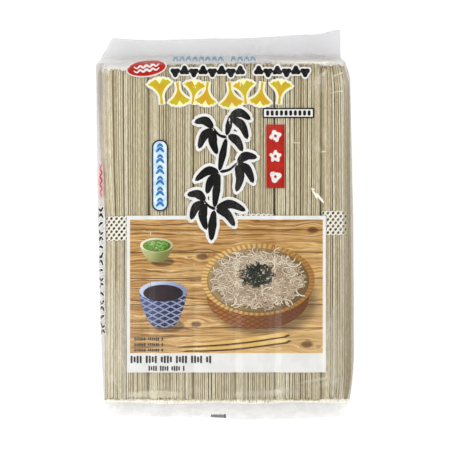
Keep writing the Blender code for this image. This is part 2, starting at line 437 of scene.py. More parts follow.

# %% [markdown]
# ## Wrinkles
# Real film is never quite smooth. Over the bundles it is drawn tight and only ripples, and at the
# shoulders and in the fins it buckles more. Noise that is stretched along the pack gives both. The sharper
# folds are listed one by one: each is a short groove between two points, bent a little, that fades at its
# ends. Every point of the film then moves along its own normal. How sharply it is folded is kept as an
# attribute, because creased film turns white.
# The finish paints that white as a highlight too: creases make the film cloudier and cream-white.

# %% Folds
# Each fold: the X and Y of its two ends, how far its middle bows aside, how sharp it is, and its width.
FOLDS = (
    (30.0, 113.2, 83.0, 111.6, 1.2, 1.00, 1.3),
    (50.0, 96.5, 80.0, 108.0, -5.5, 0.50, 1.6),
    (58.0, 93.5, 84.0, 101.0, -3.5, 0.40, 1.2),
    (66.0, 106.0, 86.0, 96.0, 2.5, 0.35, 1.3),
    (60.0, 25.5, 64.5, 18.0, 0.3, 0.60, 1.1),
    (63.5, 23.0, 69.0, 15.0, 0.4, 0.60, 1.1),
    (81.4, 104.0, 82.0, -88.0, 0.4, 0.45, 0.7),
    (-80.0, 108.0, -64.0, 111.5, -1.5, 0.35, 1.4),
    (-78.0, -86.0, -70.0, -104.0, 1.8, 0.25, 1.6),
    (-80.0, -92.0, -73.0, -78.0, -1.5, 0.25, 1.4),
    (-83.0, -104.0, -72.0, -119.0, 2.0, 0.40, 1.5),
    (-60.0, -113.5, -10.0, -116.0, 1.5, 0.35, 1.8),
    (2.0, -116.5, 58.0, -112.5, -1.6, 0.45, 1.8),
    (55.0, -112.0, 84.0, -105.0, -2.0, 0.50, 1.6),
    (-88.0, 60.0, -87.0, -20.0, 0.6, 0.25, 0.8),
    (-87.5, -10.0, -86.5, -96.0, 0.8, 0.25, 0.8),
)
FOLD_DEPTH = 0.3


def fold_height(x, y):
    """How sharply the film is folded at a place: 0 is not at all."""
    total = 0.0
    for x0, y0, x1, y1, bow, height, width in FOLDS:
        ahead = Vector((x1 - x0, y1 - y0))
        along = ahead.length
        ahead /= along
        here = Vector((x - x0, y - y0))
        share = here.dot(ahead) / along
        if not -0.1 < share < 1.1:
            continue
        aside = ahead.cross(here) - bow * 4 * share * (1 - share)
        fade = max(0.0, min(1.0, 5 * share, 5 * (1 - share)))
        total += height * fade * math.exp(-((aside / width) ** 2))
    return total


print(len(FOLDS), "folds")


# %% Film relief
# Heights and reaches in mm. The sinks draw the whole film in, so that its ripples stay inside the solid.
BODY_GENTLE = 0.14
BODY_FINE = 0.06
BODY_SINK = 0.18
SIDE_GENTLE = 0.5
END_GENTLE = 0.4
END_PLEATS = 0.14
END_SINK = 0.1
LOOSE_WITHIN = 5.0  # past the noodles' ends
FOLDS_ABOVE = BAG_DEPTH * 0.4
SEAM_BELOW = BAG_DEPTH / 4
SEAM_X = BACK_EDGES[SEAM_BRIDGE - 1][1]
SEAM_WIDTH = 8.0
SEAM_DENT = 0.35


def ripple(x, y, z, sizes, shift=0.0):
    """Noise from about -1 to 1 whose features are about sizes long along X, Y and Z. shift moves it."""
    return noise.noise(Vector((x / sizes[0], y / sizes[1], z / sizes[2] + shift)))


def relief(point):
    """How far film stands in or out at a point, in metres."""
    x, y, z = point / MM
    loose = min(max(y - BLOCK_TOP, BLOCK_BOTTOM - y, 0.0) / LOOSE_WITHIN, 1.0)
    gentle = ripple(x, y, z, (26, 40, 12))
    fine = ripple(x, y, z, (6, 17, 8), 9.0)
    pleats = ripple(x, y, 0.0, (4.5, 20, 1), 3.0)
    side = max(0.0, min(BAG_DEPTH - z, z) / BAG_DEPTH * 2)
    on_body = BODY_GENTLE * gentle + BODY_FINE * fine - BODY_SINK + SIDE_GENTLE * side * gentle
    on_end = END_GENTLE * gentle + END_PLEATS * pleats - END_SINK
    seam = SEAM_DENT * math.exp(-(((x - SEAM_X) / SEAM_WIDTH) ** 4)) if z < SEAM_BELOW else 0.0
    folds = fold_height(x, y) if z > FOLDS_ABOVE or loose > 0 else 0.0
    pressed = FOLD_DEPTH * min(folds, 1.0)
    return (on_body + (on_end - on_body) * loose - pressed - seam) * MM


SHARP_EDGE = math.radians(50)


def mesh_object(name, bm, material=None):
    """A mesh object from a bmesh, at the origin, with its faces turned outwards."""
    bmesh.ops.recalc_face_normals(bm, faces=bm.faces)
    mesh = bpy.data.meshes.new(name)
    bm.to_mesh(mesh)
    bm.free()
    mesh.shade_smooth()
    mesh.set_sharp_from_angle(angle=SHARP_EDGE)
    made = bpy.data.objects.new(name, mesh)
    bpy.context.scene.collection.objects.link(made)
    if material:
        mesh.materials.append(material)
    return made


def close_fin(bm, loop):
    """A strip of triangles between a fin's front points and the back points behind them."""
    count = len(loop)
    half_side = SIDE_POINTS // 2
    left_end = count - 1 - half_side
    right_end = FRONT_POINTS + half_side
    front = [loop[(left_end + i) % count] for i in range(right_end + half_side + 2)]
    back = [loop[i] for i in range(left_end, right_end - 1, -1)]
    i = j = 0
    while i < len(front) - 1 or j < len(back) - 1:
        by_front = j == len(back) - 1 or (i < len(front) - 1 and front[i + 1].co.x < back[j + 1].co.x)
        corner = front[i + 1] if by_front else back[j + 1]
        if len({front[i], back[j], corner}) == 3:
            bm.faces.new((front[i], corner, back[j]))
        i, j = (i + 1, j) if by_front else (i, j + 1)


def film_skin():
    bm = bmesh.new()
    loops = [[bm.verts.new(point * MM) for point in ring] for ring in rings]
    for lower, upper in zip(loops, loops[1:]):
        for i in range(len(lower)):
            j = (i + 1) % len(lower)
            bm.faces.new((lower[i], upper[i], upper[j], lower[j]))
    close_fin(bm, loops[0])
    close_fin(bm, loops[-1])
    bmesh.ops.recalc_face_normals(bm, faces=bm.faces)
    bm.normal_update()
    creases = bm.verts.layers.float.new("crease")
    moves = [vert.normal * relief(vert.co) for vert in bm.verts]
    for vert, move in zip(bm.verts, moves):
        on_front = vert.co.z / MM > FOLDS_ABOVE
        vert[creases] = fold_height(vert.co.x / MM, vert.co.y / MM) * on_front
        vert.co += move
    return mesh_object("film", bm)


film = film_skin()
film_tree = BVHTree.FromObject(film, bpy.context.evaluated_depsgraph_get())
print("the film has", len(film.data.polygons), "faces")

# %% [markdown]
# ## Noodles
# A bundle holds about 190 sticks of the same shape, so it is a job for Geometry Nodes: a grid of points,
# one for each stick, is pressed into a squared oval, a stick is put on each point a little askew, and the
# whole bundle is drawn in at its waist, where the band goes. Each stick keeps a random number of its own,
# which its finish later turns into a slightly different tone. Its flanks are marked, because little light
# gets in between sticks.

# %% One stick
STICK_WIDTH = 1.3
STICK_THICKNESS = 1.3
STICK_PITCH = 1.5
STICK_GAP = 0.12  # between two rows
STICK_ROUNDNESS = 0.8  # 1 is an ellipse, less is squarer
STICK_SIDES = 8
STICK_RINGS = (-0.5, -0.44, -0.2, -0.06, 0.0, 0.06, 0.2, 0.44, 0.5)  # shares of the length


def stick_shape():
    """A rounded bar along Y. It is only a pattern for the copies, so it is taken out again at the end."""
    bm = bmesh.new()
    flanks = bm.verts.layers.float.new("flank")
    turns = [2 * math.pi * (i + 0.5) / STICK_SIDES for i in range(STICK_SIDES)]
    loops = []
    for share in STICK_RINGS:
        loop = []
        for turn in turns:
            x = STICK_WIDTH / 2 * math.copysign(abs(math.cos(turn)) ** STICK_ROUNDNESS, math.cos(turn))
            z = STICK_THICKNESS / 2 * math.copysign(abs(math.sin(turn)) ** STICK_ROUNDNESS, math.sin(turn))
            loop.append(bm.verts.new(Vector((x, share * NOODLE_LENGTH, z)) * MM))
            loop[-1][flanks] = float(abs(math.cos(turn)) > 0.5)
        loops.append(loop)
    for lower, upper in zip(loops, loops[1:]):
        for i in range(STICK_SIDES):
            j = (i + 1) % STICK_SIDES
            bm.faces.new((lower[i], upper[i], upper[j], lower[j]))
    bm.faces.new(loops[0])
    bm.faces.new(loops[-1][::-1])
    return mesh_object("stick_pattern", bm)


stick = stick_shape()
print("a stick has", len(stick.data.polygons), "faces")


# %% Trees with named inputs
def geometry_tree(name, inputs):
    """A Geometry Nodes tree with those named inputs. Returns its Net and a Wire for each input."""
    tree = bpy.data.node_groups.new(name, "GeometryNodeTree")
    for label, kind in inputs.items():
        tree.interface.new_socket(name=label, in_out="INPUT", socket_type="NodeSocket" + kind)
    tree.interface.new_socket(name="Geometry", in_out="OUTPUT", socket_type="NodeSocketGeometry")
    net = Net(tree)
    source = tree.nodes.new("NodeGroupInput")
    return net, {label: Wire(net, source.outputs[label]) for label in inputs}


def end_tree(net, geometry, material):
    """Every tree ends in real geometry with its material."""
    painted = net.add("GeometryNodeSetMaterial", None, {"Geometry": geometry, "Material": material})
    net.join(painted, net.tree.nodes.new("NodeGroupOutput").inputs[0])


def grow(net, name, values):
    """Runs a tree and keeps what it makes as a plain mesh."""
    made = bpy.data.objects.new(name, bpy.data.meshes.new(name))
    bpy.context.scene.collection.objects.link(made)
    modifier = made.modifiers.new("grow", "NODES")
    modifier.node_group = net.tree
    for item in net.tree.interface.items_tree:
        if item.in_out == "INPUT":
            modifier[item.identifier] = values[item.name]
    graph = bpy.context.evaluated_depsgraph_get()
    mesh = bpy.data.meshes.new_from_object(
        made.evaluated_get(graph), preserve_all_data_layers=True, depsgraph=graph
    )
    made.modifiers.clear()
    made.data = mesh
    return made


def axes_of(net):
    """X, Y and Z of each point."""
    split = net.add("ShaderNodeSeparateXYZ", None, {0: net.add("GeometryNodeInputPosition")})
    return [Wire(net, out) for out in split.socket.node.outputs]


def chance(net, low, high, seed, salt):
    """A random number for each point or copy."""
    values = {2: low, 3: high, "Seed": seed * 16.0 + salt}
    return net.add("FunctionNodeRandomValue", {"data_type": "FLOAT"}, values, output=1)


print("trees can be grown")

# %% The bundle tree
BUNDLE_INPUTS = {
    "Columns": "Int",
    "Rows": "Int",
    "Width": "Float",
    "Depth": "Float",
    "Squareness": "Float",
    "Corner Drop": "Float",
    "Corner Reach": "Float",
    "Waist": "Float",
    "Waist At": "Float",
    "Waist Span": "Float",
    "Left Splay": "Float",
    "Right Splay": "Float",
    "Top Draw": "Float",
    "Bottom Draw": "Float",
    "Looseness": "Float",
    "Seed": "Int",
    "Stick": "Object",
    "Material": "Material",
}
LEFT_SPLAY_OVER = (-5.0 * MM, 95.0 * MM)  # where a bundle at the left edge spreads out, from none to all
RIGHT_SPLAY_OVER = (90.0 * MM, -20.0 * MM)
TOP_DRAW_OVER = (102.0 * MM, 119.0 * MM)  # where its right corners are drawn in, to follow the film's corners
BOTTOM_DRAW_OVER = (-102.0 * MM, -119.0 * MM)
BOW = 0.25 * MM
RAGGED = 1.1 * MM
SHIFT_ACROSS = 0.017  # shares of the bundle's half width and half depth that a stick may be out of its place
SHIFT_DOWN = 0.07
SHIFT_UP = 0.03
TURNS = {"X": 0.0011, "Y": 0.2, "Z": 0.0022}  # radians that a stick may turn either way
STRETCHES = {"X": (0.9, 1.06), "Y": (0.993, 1.004), "Z": (0.9, 1.06)}


def bundle_tree():
    """Sticks on a grid that is pressed into a squared oval, each a little askew."""
    net, given = geometry_tree("noodle_bundle", BUNDLE_INPUTS)
    counts = {"Size X": 2.0, "Size Y": 2.0, "Vertices X": given["Columns"], "Vertices Y": given["Rows"]}
    grid = net.add("GeometryNodeMeshGrid", None, counts, output="Mesh")
    u, v, _ = axes_of(net)
    loose = given["Looseness"]
    u = u + chance(net, loose * -SHIFT_ACROSS, loose * SHIFT_ACROSS, given["Seed"], 1)
    v = v + chance(net, loose * -SHIFT_DOWN, loose * SHIFT_UP, given["Seed"], 2)
    power = given["Squareness"]
    length = (abs(u) ** power + abs(v) ** power) ** net.math("DIVIDE", 1.0, power)
    shrink = abs(u).most(abs(v)) / length
    x = u * shrink * given["Width"] / 2
    near_edge = (1 - (given["Width"] / 2 - abs(x)) / given["Corner Reach"]).most(0.0)
    drop = given["Corner Drop"] * near_edge * near_edge
    spot = {
        "X": x,
        "Y": chance(net, -RAGGED, RAGGED, given["Seed"], 3),
        "Z": v * shrink * (given["Depth"] / 2 - drop),
    }
    placed = {"Geometry": grid, "Position": net.add("ShaderNodeCombineXYZ", None, spot)}
    points = net.add("GeometryNodeSetPosition", None, placed)
    turn = {axis: chance(net, -most, most, given["Seed"], 4 + i)
            for i, (axis, most) in enumerate(TURNS.items())}
    stretch = {axis: chance(net, low, high, given["Seed"], 7 + i)
               for i, (axis, (low, high)) in enumerate(STRETCHES.items())}
    shape = net.add("GeometryNodeObjectInfo", None, {"Object": given["Stick"]}, output="Geometry")
    copies = net.add("GeometryNodeInstanceOnPoints", None, {
        "Points": points,
        "Instance": shape,
        "Rotation": net.add("ShaderNodeCombineXYZ", None, turn),
        "Scale": net.add("ShaderNodeCombineXYZ", None, stretch),
    })
    for label, low, salt in (("tone", 0.0, 11), ("bow", -1.0, 12)):
        kept = {"Geometry": copies, "Name": label, "Value": chance(net, low, 1.0, given["Seed"], salt)}
        copies = net.add("GeometryNodeStoreNamedAttribute", {"domain": "INSTANCE"}, kept)
    sticks = net.add("GeometryNodeRealizeInstances", None, {"Geometry": copies})
    end_tree(net, drawn_in(net, given, sticks), given["Material"])
    return net


def drawn_in(net, given, sticks):
    """Bends every stick a little and draws the bundle in at its waist."""
    x, y, z = axes_of(net)
    away = (y - given["Waist At"]) / given["Waist Span"]
    pull = 1 - given["Waist"] * net.math("EXPONENT", away * away * -1.0)
    share = y / (NOODLE_LENGTH / 2 * MM)
    bow = net.add("GeometryNodeInputNamedAttribute", {"data_type": "FLOAT"}, {"Name": "bow"})
    arch = bow * BOW * (1 - share * share)
    to_left = given["Left Splay"] * y.step(*LEFT_SPLAY_OVER) * (0.5 - x / given["Width"]) ** 3.0
    draws = given["Top Draw"] * y.step(*TOP_DRAW_OVER) + given["Bottom Draw"] * y.step(*BOTTOM_DRAW_OVER)
    to_right = (given["Right Splay"] * y.step(*RIGHT_SPLAY_OVER) - draws) * (0.5 + x / given["Width"])
    moved = {"X": x * pull + arch - to_left + to_right, "Y": y, "Z": z * pull}
    bent = net.add("ShaderNodeCombineXYZ", None, moved)
    return net.add("GeometryNodeSetPosition", None, {"Geometry": sticks, "Position": bent})


bundle = bundle_tree()
print("the bundle tree has", len(bundle.tree.nodes), "nodes")

# %% [markdown]
# ## Dried noodle
# Dried buckwheat noodle is a dull grey beige with fine darker husk specks, and no two sticks are quite the
# same tone. One colour would read as plastic. The stick's own random number picks a tone from a ramp, long
# noise adds streaks, and a sharp threshold on very fine noise leaves the specks.
# Painted shade darkens each stick's flanks and the noodles' ends at the top, under the film's fold.


# %% The noodle finish
NOODLE_TONES = (
    (0.0, srgb(190, 176, 138)),
    (0.25, srgb(213, 202, 168)),
    (0.8, srgb(225, 217, 189)),
    (1.0, srgb(240, 235, 213)),
)


def noodle_finish():
    f = Finish("dried_noodle")
    tone = f.add("ShaderNodeAttribute", {"attribute_name": "tone"}, output="Fac")
    flank = f.add("ShaderNodeAttribute", {"attribute_name": "flank"}, output="Fac")
    _, y, _ = f.axes()
    streak = f.grain((0.5, 14.0, 0.5), detail=3.0, seed=2.0)
    mottle = f.grain((0.8, 4.0, 0.8), detail=3.0, seed=7.0)
    specks = f.grain((0.4, 0.7, 0.4), detail=1.0, seed=5.0)
    shade_breakup = f.grain((1.6, 1.2, 2.0), detail=2.0, seed=11.0)
    # Painted shade: the noodles' top ends are darker, where the film's fold above them shades them.
    top_end_shade = (y - BLOCK_TOP).step(-9.0, -2.0) * shade_breakup.step(0.4, 0.62)
    layers = (
        (streak.step(0.35, 0.75) * 0.35, srgb(176, 162, 126)),
        (mottle.step(0.56, 0.34) * 0.3, srgb(150, 136, 102)),
        (mottle.step(0.54, 0.72) * 0.4, srgb(250, 245, 226)),
        (specks.step(0.66, 0.73) * 0.7, srgb(92, 72, 48)),
        (top_end_shade * 0.55, srgb(128, 114, 84)),
        # Painted shade: each stick's flanks are darker and yellower, since little light gets in between
        # sticks.
        (flank.step(0.45, 1.0) * 0.4, srgb(166, 144, 88)),
    )
    colour = f.add("ShaderNodeValToRGB", {"stops": NOODLE_TONES}, {"Fac": tone})
    bump = f.grain((0.25, 1.2, 0.25), detail=2.0, seed=8.0)
    return f.close(f.glaze(colour, layers), 0.72, bump, 0.05 * MM, Specular_IOR_Level=0.3)


NOODLE = noodle_finish()
print("made", NOODLE.name)

# %% Grow the bundles
FILM_GAP = 1.05  # noodles to film
BUNDLE_GAP = 0.3
LAYER_GAP = 0.4
HALF_DEPTH = BAG_DEPTH / 2
# How far the bundles of each layer stop below the block's top end and above its bottom end, and their waists.
TOP_ENDS = {"front": (-5.2, -1.2, -0.9, -0.5, -1.0, -1.9), "back": (-5.6, -1.6, -1.1, -0.9, -1.2, -0.6)}
BOTTOM_ENDS = {"front": (1.2, 0.4, 0.0, -0.6, 0.5, 1.6), "back": (1.4, 0.6, 0.3, 0.0, 0.9, 1.6)}
WAISTS_AT = {"front": (-2.4, -3.6, 5.0, -0.6, -3.6, 1.5), "back": (0.1, 0.5, -2.4, 3.0, -0.9, -3.9)}
LEFT_SPLAY = {"front": 4.3, "back": 2.4}
RIGHT_SPLAY = 1.3
RIGHT_INSET = 0.5
TOP_DRAW = 3.4
BOTTOM_DRAW = 2.2
SQUARENESS = (5.0, 9.0, 9.0, 9.0, 9.0, 3.4)  # the bundles at the sides are rounder
WAIST = 0.035  # the share by which a band draws its bundle in
WAIST_SPAN = 30.0
RIGHT_LOOSENESS = 0.4  # the narrow bundles at the right are straighter than the others


def bundle_sizes():
    """Each bundle's layer, place in its layer, left and right edge, and lowest and highest noodle."""
    for i, (left, right) in enumerate(FRONT_EDGES):
        yield "front", i, left, right, HALF_DEPTH + LAYER_GAP / 2, BAG_DEPTH - CROWN_DROPS[i] - FILM_GAP
    for i, (left, right) in enumerate(BACK_EDGES):
        yield "back", i, left, right, FILM_GAP, HALF_DEPTH - LAYER_GAP / 2


def grow_bundle(seed, layer, i, left, right, low, high):
    """One bundle of noodles in its place. Returns it and what its band needs."""
    top_end, bottom_end, waist_at = (part[layer][i] for part in (TOP_ENDS, BOTTOM_ENDS, WAISTS_AT))
    at_left, at_right = i == 0, i == 5
    right -= RIGHT_INSET * at_right
    width = right - left - BUNDLE_GAP
    depth = high - low
    values = {
        "Columns": round(width / STICK_PITCH),
        "Rows": round(depth / (STICK_THICKNESS + STICK_GAP)),
        "Width": (width - STICK_WIDTH) * MM,
        "Depth": (depth - STICK_THICKNESS) * MM,
        "Squareness": SQUARENESS[i],
        "Corner Drop": VALLEY_DEPTH * MM,
        "Corner Reach": VALLEY_REACH * MM,
        "Waist": WAIST,
        "Waist At": (waist_at - BLOCK_SHIFT) * MM,
        "Waist Span": WAIST_SPAN * MM,
        "Left Splay": LEFT_SPLAY[layer] * MM * at_left,
        "Right Splay": RIGHT_SPLAY * MM * at_right,
        "Top Draw": TOP_DRAW * MM * at_right,
        "Bottom Draw": BOTTOM_DRAW * MM * at_right,
        "Looseness": RIGHT_LOOSENESS if at_right else 1.0,
        "Seed": seed,
        "Stick": stick,
        "Material": NOODLE,
    }
    made = grow(bundle, f"noodles_{layer}_{i + 1}", values)
    length = (NOODLE_LENGTH + top_end - bottom_end) / NOODLE_LENGTH
    middle = Vector(((left + right) / 2, BLOCK_SHIFT + (top_end + bottom_end) / 2, (low + high) / 2)) * MM
    made.data.transform(Matrix.Translation(middle) @ Matrix.Diagonal((1, length, 1, 1)))
    shape = {"width": width, "depth": depth, "middle": middle / MM, "at": waist_at, "power": SQUARENESS[i]}
    return made, shape


bundles = {}
band_shapes = {}
for seed, sizes in enumerate(bundle_sizes(), 1):
    name = f"{sizes[0]}_{sizes[1] + 1}"
    bundles[name], band_shapes[name] = grow_bundle(seed, *sizes)
bpy.data.objects.remove(stick)
print(len(bundles), "bundles,", sum(len(b.data.polygons) for b in bundles.values()), "faces")

# %% [markdown]
# ## Paper bands
# A band is a strip of printed paper wrapped tightly round the waist of its bundle. It is lofted round the
# same squared oval as the sticks, a little larger, with an inner face so that the strip is closed. Its UV
# map is laid out in metres along and across the strip, so the dotted check keeps its size round the
# corners.

# %% Wrap the bands
BAND_HEIGHT = 17.0
BAND_POINTS = 120
BAND_ROWS = 6
BAND_LIFT = 0.28
BAND_WOBBLE = 0.35
PAPER = 0.12


def squared_oval(half_width, half_depth, power, turn):
    """A point on the outline of a bundle, which is lower near its edges, where the film dips."""
    c, s = math.cos(turn), math.sin(turn)
    size = (abs(c) ** power + abs(s) ** power) ** (-1 / power)
    x = half_width * c * size
    near_edge = max(0.0, 1 - (half_width - abs(x)) / VALLEY_REACH)
    return x, s * size * (half_depth - VALLEY_DEPTH * near_edge * near_edge)


def wrap_band(name, shape):
    """A closed strip of paper round the waist of a bundle."""
    bm = bmesh.new()
    uv = bm.loops.layers.uv.new("strip")
    loops = []
    middle = shape["middle"]
    for lift, rows in ((BAND_LIFT, range(BAND_ROWS + 1)), (BAND_LIFT - PAPER, range(BAND_ROWS, -1, -1))):
        half_width = shape["width"] / 2 * (1 - WAIST) + lift
        half_depth = shape["depth"] / 2 * (1 - WAIST) + lift
        for row in rows:
            loop = []
            for i in range(BAND_POINTS):
                turn = 2 * math.pi * i / BAND_POINTS
                x, z = squared_oval(half_width, half_depth, shape["power"], turn)
                y = shape["at"] + BAND_HEIGHT * (row / BAND_ROWS - 0.5)
                y += BAND_WOBBLE * ripple(x, middle.x, z, (12, 1, 12))
                loop.append(bm.verts.new(Vector((middle.x + x, y, middle.z + z)) * MM))
            loops.append(loop)
    first = loops[0]
    along = [0.0]
    for i in range(BAND_POINTS):
        along.append(along[-1] + (first[(i + 1) % BAND_POINTS].co - first[i].co).length)
    for lower, upper in zip(loops, loops[1:] + loops[:1]):
        for i in range(BAND_POINTS):
            j = (i + 1) % BAND_POINTS
            face = bm.faces.new((lower[i], upper[i], upper[j], lower[j]))
            for loop, u in zip(face.loops, (along[i], along[i], along[i + 1], along[i + 1])):
                loop[uv].uv = (u, loop.vert.co.y - shape["at"] * MM)
    return mesh_object("band_" + name, bm)


bands = {name: wrap_band(name, shape) for name, shape in band_shapes.items()}
print(len(bands), "bands")

# %% [markdown]
# ## Printed paper
# The dots lean a little, as they are printed. Each is a rounded diamond: the sum of two powered
# distances, cut off by a smooth step.


# %% The band finish
DOTS_APART = (3.6, 4.55)
DOT_HALF = (0.98, 1.14)
DOT_LEAN = 0.22
DOT_POWER = 1.5


def paper_finish():
    f = Finish("dotted_paper")
    strip = f.add("ShaderNodeUVMap", {"uv_map": "strip"})
    u, v, _ = f.axes(strip)
    lattices = []
    for shift in (0.0, 0.5):
        row = (v + shift * DOTS_APART[1]).wrap(DOTS_APART[1])
        column = (u + shift * DOTS_APART[0]).wrap(DOTS_APART[0]) + row * DOT_LEAN
        diamond = (abs(column) / DOT_HALF[0]) ** DOT_POWER + (abs(row) / DOT_HALF[1]) ** DOT_POWER
        lattices.append(diamond.step(1.15, 0.8))
    fibres = f.grain((0.2, 0.2, 0.2), detail=4.0)
    paper = f.mix(fibres, srgb(238, 233, 216), srgb(248, 244, 230))
    worn = f.grain((3.0, 3.0, 3.0), detail=3.0, seed=4.0).step(0.3, 0.6) * 0.12
    colour = f.mix(strongest(lattices) * (1 - worn), paper, srgb(36, 30, 24))
    return f.close(colour, 0.8, fibres, 0.02 * MM, Specular_IOR_Level=0.2)


PAPER_FINISH = paper_finish()
for band in bands.values():
    band.data.materials.append(PAPER_FINISH)
print("made", PAPER_FINISH.name)

# %% [markdown]
# ## Laying print on the film
# The design is printed on the inside of the film, so every field of ink is a very thin closed sheet that
# follows the film just under it. A flat outline is filled, cut into strips so that it can bend, dropped
# onto the film by casting a ray down at each point, and then thickened. Each ink has its own small depth,
# so that white lies behind black, and the picture behind both.

# %% Drop outlines onto the film
INK = 0.02 * MM
STRIP = 1.25
ROWS = 3.0
OVER = 0.0015 * MM  # each shape of one print lies this much over the one before
prints = {}


def film_above(x, y):
    """The height of the film's outer face over a point, in metres."""
    hit = film_tree.ray_cast(Vector((x, y, 1.0)), Vector((0, 0, -1)))[0]
    return hit.z if hit else fin_height(x / MM, "top" if y > 0 else "bottom") * MM


def cut_in_strips(bm):
    """Cuts flat faces along X and Y so that they can follow the film."""
    low = Vector([min(v.co[i] for v in bm.verts) for i in range(3)])
    high = Vector([max(v.co[i] for v in bm.verts) for i in range(3)])
    for axis, gap in ((0, STRIP * MM), (1, ROWS * MM)):
        normal = Vector([float(i == axis) for i in range(3)])
        place = math.ceil(low[axis] / gap) * gap
        while place < high[axis]:
            geometry = [*bm.verts, *bm.edges, *bm.faces]
            bmesh.ops.bisect_plane(bm, geom=geometry, dist=1e-7, plane_co=normal * place, plane_no=normal)
            place += gap


def press(bm, name, depth, material):
    """Lays flat faces under the film at a depth in millimetres, and closes them into a sheet of ink."""
    cut_in_strips(bm)
    for vert in bm.verts:
        vert.co.z += film_above(vert.co.x, vert.co.y) - depth * MM
    for face in bm.faces:
        face.normal_update()
        if face.normal.z < 0:
            face.normal_flip()
    under = bmesh.ops.duplicate(bm, geom=[*bm.verts, *bm.edges, *bm.faces])
    rim = [edge for edge in bm.edges if edge.is_boundary]
    twins = under["vert_map"]
    for item in under["geom"]:
        if isinstance(item, bmesh.types.BMVert):
            item.co.z -= INK
        elif isinstance(item, bmesh.types.BMFace):
            item.normal_flip()
    copied = {item for item in under["geom"] if isinstance(item, bmesh.types.BMEdge)}
    for edge in rim:
        if edge not in copied:
            a, b = edge.verts
            bm.faces.new((a, b, twins[b], twins[a]))
    return mesh_object(name, bm, material)


def ink_in(name, outlines, depth, ink):
    """Prints closed outlines, in millimetres, with one ink. Each outline is filled by itself."""
    bm = bmesh.new()
    for i, outline in enumerate(outlines):
        bm.faces.new([bm.verts.new((x * MM, y * MM, i * OVER)) for x, y in outline])
    bm.normal_update()
    bmesh.ops.triangulate(bm, faces=bm.faces)
    prints[name] = press(bm, "print_" + name, depth, ink)


print("film over the middle stands at", round(film_above(0, 0) / MM, 2), "mm")

# %% [markdown]
# ## Outlines
# Most printed shapes are one of four things: a box, whose corners may be round, an oval, a round with
# lobes, or a brush stroke. A stroke follows a smooth line through a few points, and its width swells and
# tapers along it. A wider copy of the same shape makes the white margin behind it.


# %% Boxes, ovals and strokes
def box_outline(left, bottom, right, top, radius=0.0, steps=6):
    """A box whose corners may be round. steps is the number of edges in a corner."""
    if not radius:
        return [(left, bottom), (right, bottom), (right, top), (left, top)]
    points = []
    corners = ((right, top, 0), (left, top, 90), (left, bottom, 180), (right, bottom, 270))
    for corner_x, corner_y, start in corners:
        x = corner_x - math.copysign(radius, corner_x - (left + right) / 2)
        y = corner_y - math.copysign(radius, corner_y - (bottom + top) / 2)
        for i in range(steps + 1):
            turn = math.radians(start + 90 * i / steps)
            points.append((x + radius * math.cos(turn), y + radius * math.sin(turn)))
    return points


def oval_outline(x, y, half_width, half_height, lean=0.0, steps=40):
    points = []
    for i in range(steps):
        turn = 2 * math.pi * i / steps
        across, up = half_width * math.cos(turn), half_height * math.sin(turn)
        points.append((x + across * math.cos(lean) - up * math.sin(lean),
                       y + across * math.sin(lean) + up * math.cos(lean)))
    return points


def spline(p, q, r, s, t):
    """A smooth curve from q to r that heads from p and on to s, at a share t of the way."""
    return 0.5 * (2 * q + (r - p) * t + (2 * p - 5 * q + 4 * r - s) * t * t + (3 * q - p - 3 * r + s) * t**3)


def along_line(points, steps):
    """Evenly shared points on a smooth line through the given ones."""
    knots = [points[0], *points, points[-1]]
    line = []
    for corners in zip(knots, knots[1:], knots[2:], knots[3:]):
        for i in range(steps):
            line.append(tuple(spline(*values, i / steps) for values in zip(*corners)))
    return [*line, points[-1]]


def stroke_outline(points, width, margin=0.0, taper=0.55, steps=7, ends=5):
    """A brush stroke's outline. width is the full width at its thickest, and taper is where that lies."""
    line = np.array(along_line(points, steps))
    count = len(line)
    ahead = np.gradient(line, axis=0)
    ahead /= np.linalg.norm(ahead, axis=1)[:, None]
    side = np.stack([-ahead[:, 1], ahead[:, 0]], axis=1)
    share = np.linspace(0, 1, count)
    swell = np.where(share < taper, share / taper, (1 - share) / (1 - taper))
    half = width / 2 * (0.12 + 0.88 * np.sqrt(np.clip(swell, 0, 1))) + margin
    left, right = line + side * half[:, None], line - side * half[:, None]
    caps = []
    for at, way in ((-1, 1), (0, -1)):
        cap = []
        for i in range(1, ends):
            turn = math.pi * i / ends
            out = math.sin(turn) * ahead[at] * way + math.cos(turn) * side[at] * way
            cap.append(line[at] + out * half[at])
        caps.append(cap)
    return [tuple(p) for p in [*left, *caps[0], *right[::-1], *caps[1]]]


def lobed_outline(x, y, radius, lobes, swell, lean=0.0, margin=0.0, steps=36):
    """A blossom or a kernel: a circle whose radius swells at each lobe."""
    points = []
    for i in range(steps):
        turn = 2 * math.pi * i / steps
        out = radius * (1 + swell * math.cos(lobes * turn)) + margin
        points.append((x + out * math.cos(turn + lean), y + out * math.sin(turn + lean)))
    return points


print("a stroke has", len(stroke_outline([(0, 0), (5, 1), (9, 4)], 3)), "points")

# %% [markdown]
# ## Inks
# Ink on film is flat and a little uneven: it is laid down in a fine screen, and thick areas pool. One
# finish serves every plain ink, with its own colour. Some, like the yellow, drift between two hues.


# %% Ink finishes
INK_ROUGHNESS = 0.45


def ink_finish(name, colour, second=None, drift=9.0):
    """One ink. drift is the size in mm of the places where it turns to the second colour."""
    f = Finish(name)
    screen = f.grain((0.18, 0.18, 2.0), detail=1.0)
    pool = f.grain((drift, drift, drift), detail=2.0, seed=3.0)
    other = second or tuple(min(1.0, value * 1.12 + 0.004) for value in colour)
    mixed = f.mix(pool.step(0.38, 0.62), colour, other)
    dark = tuple(value * 0.9 for value in colour)
    mixed = f.mix(screen.step(0.45, 0.7) * 0.35, mixed, dark)
    return f.close(mixed, INK_ROUGHNESS + 0.1 * (pool - 0.5), screen, 0.004 * MM, Specular_IOR_Level=0.1)


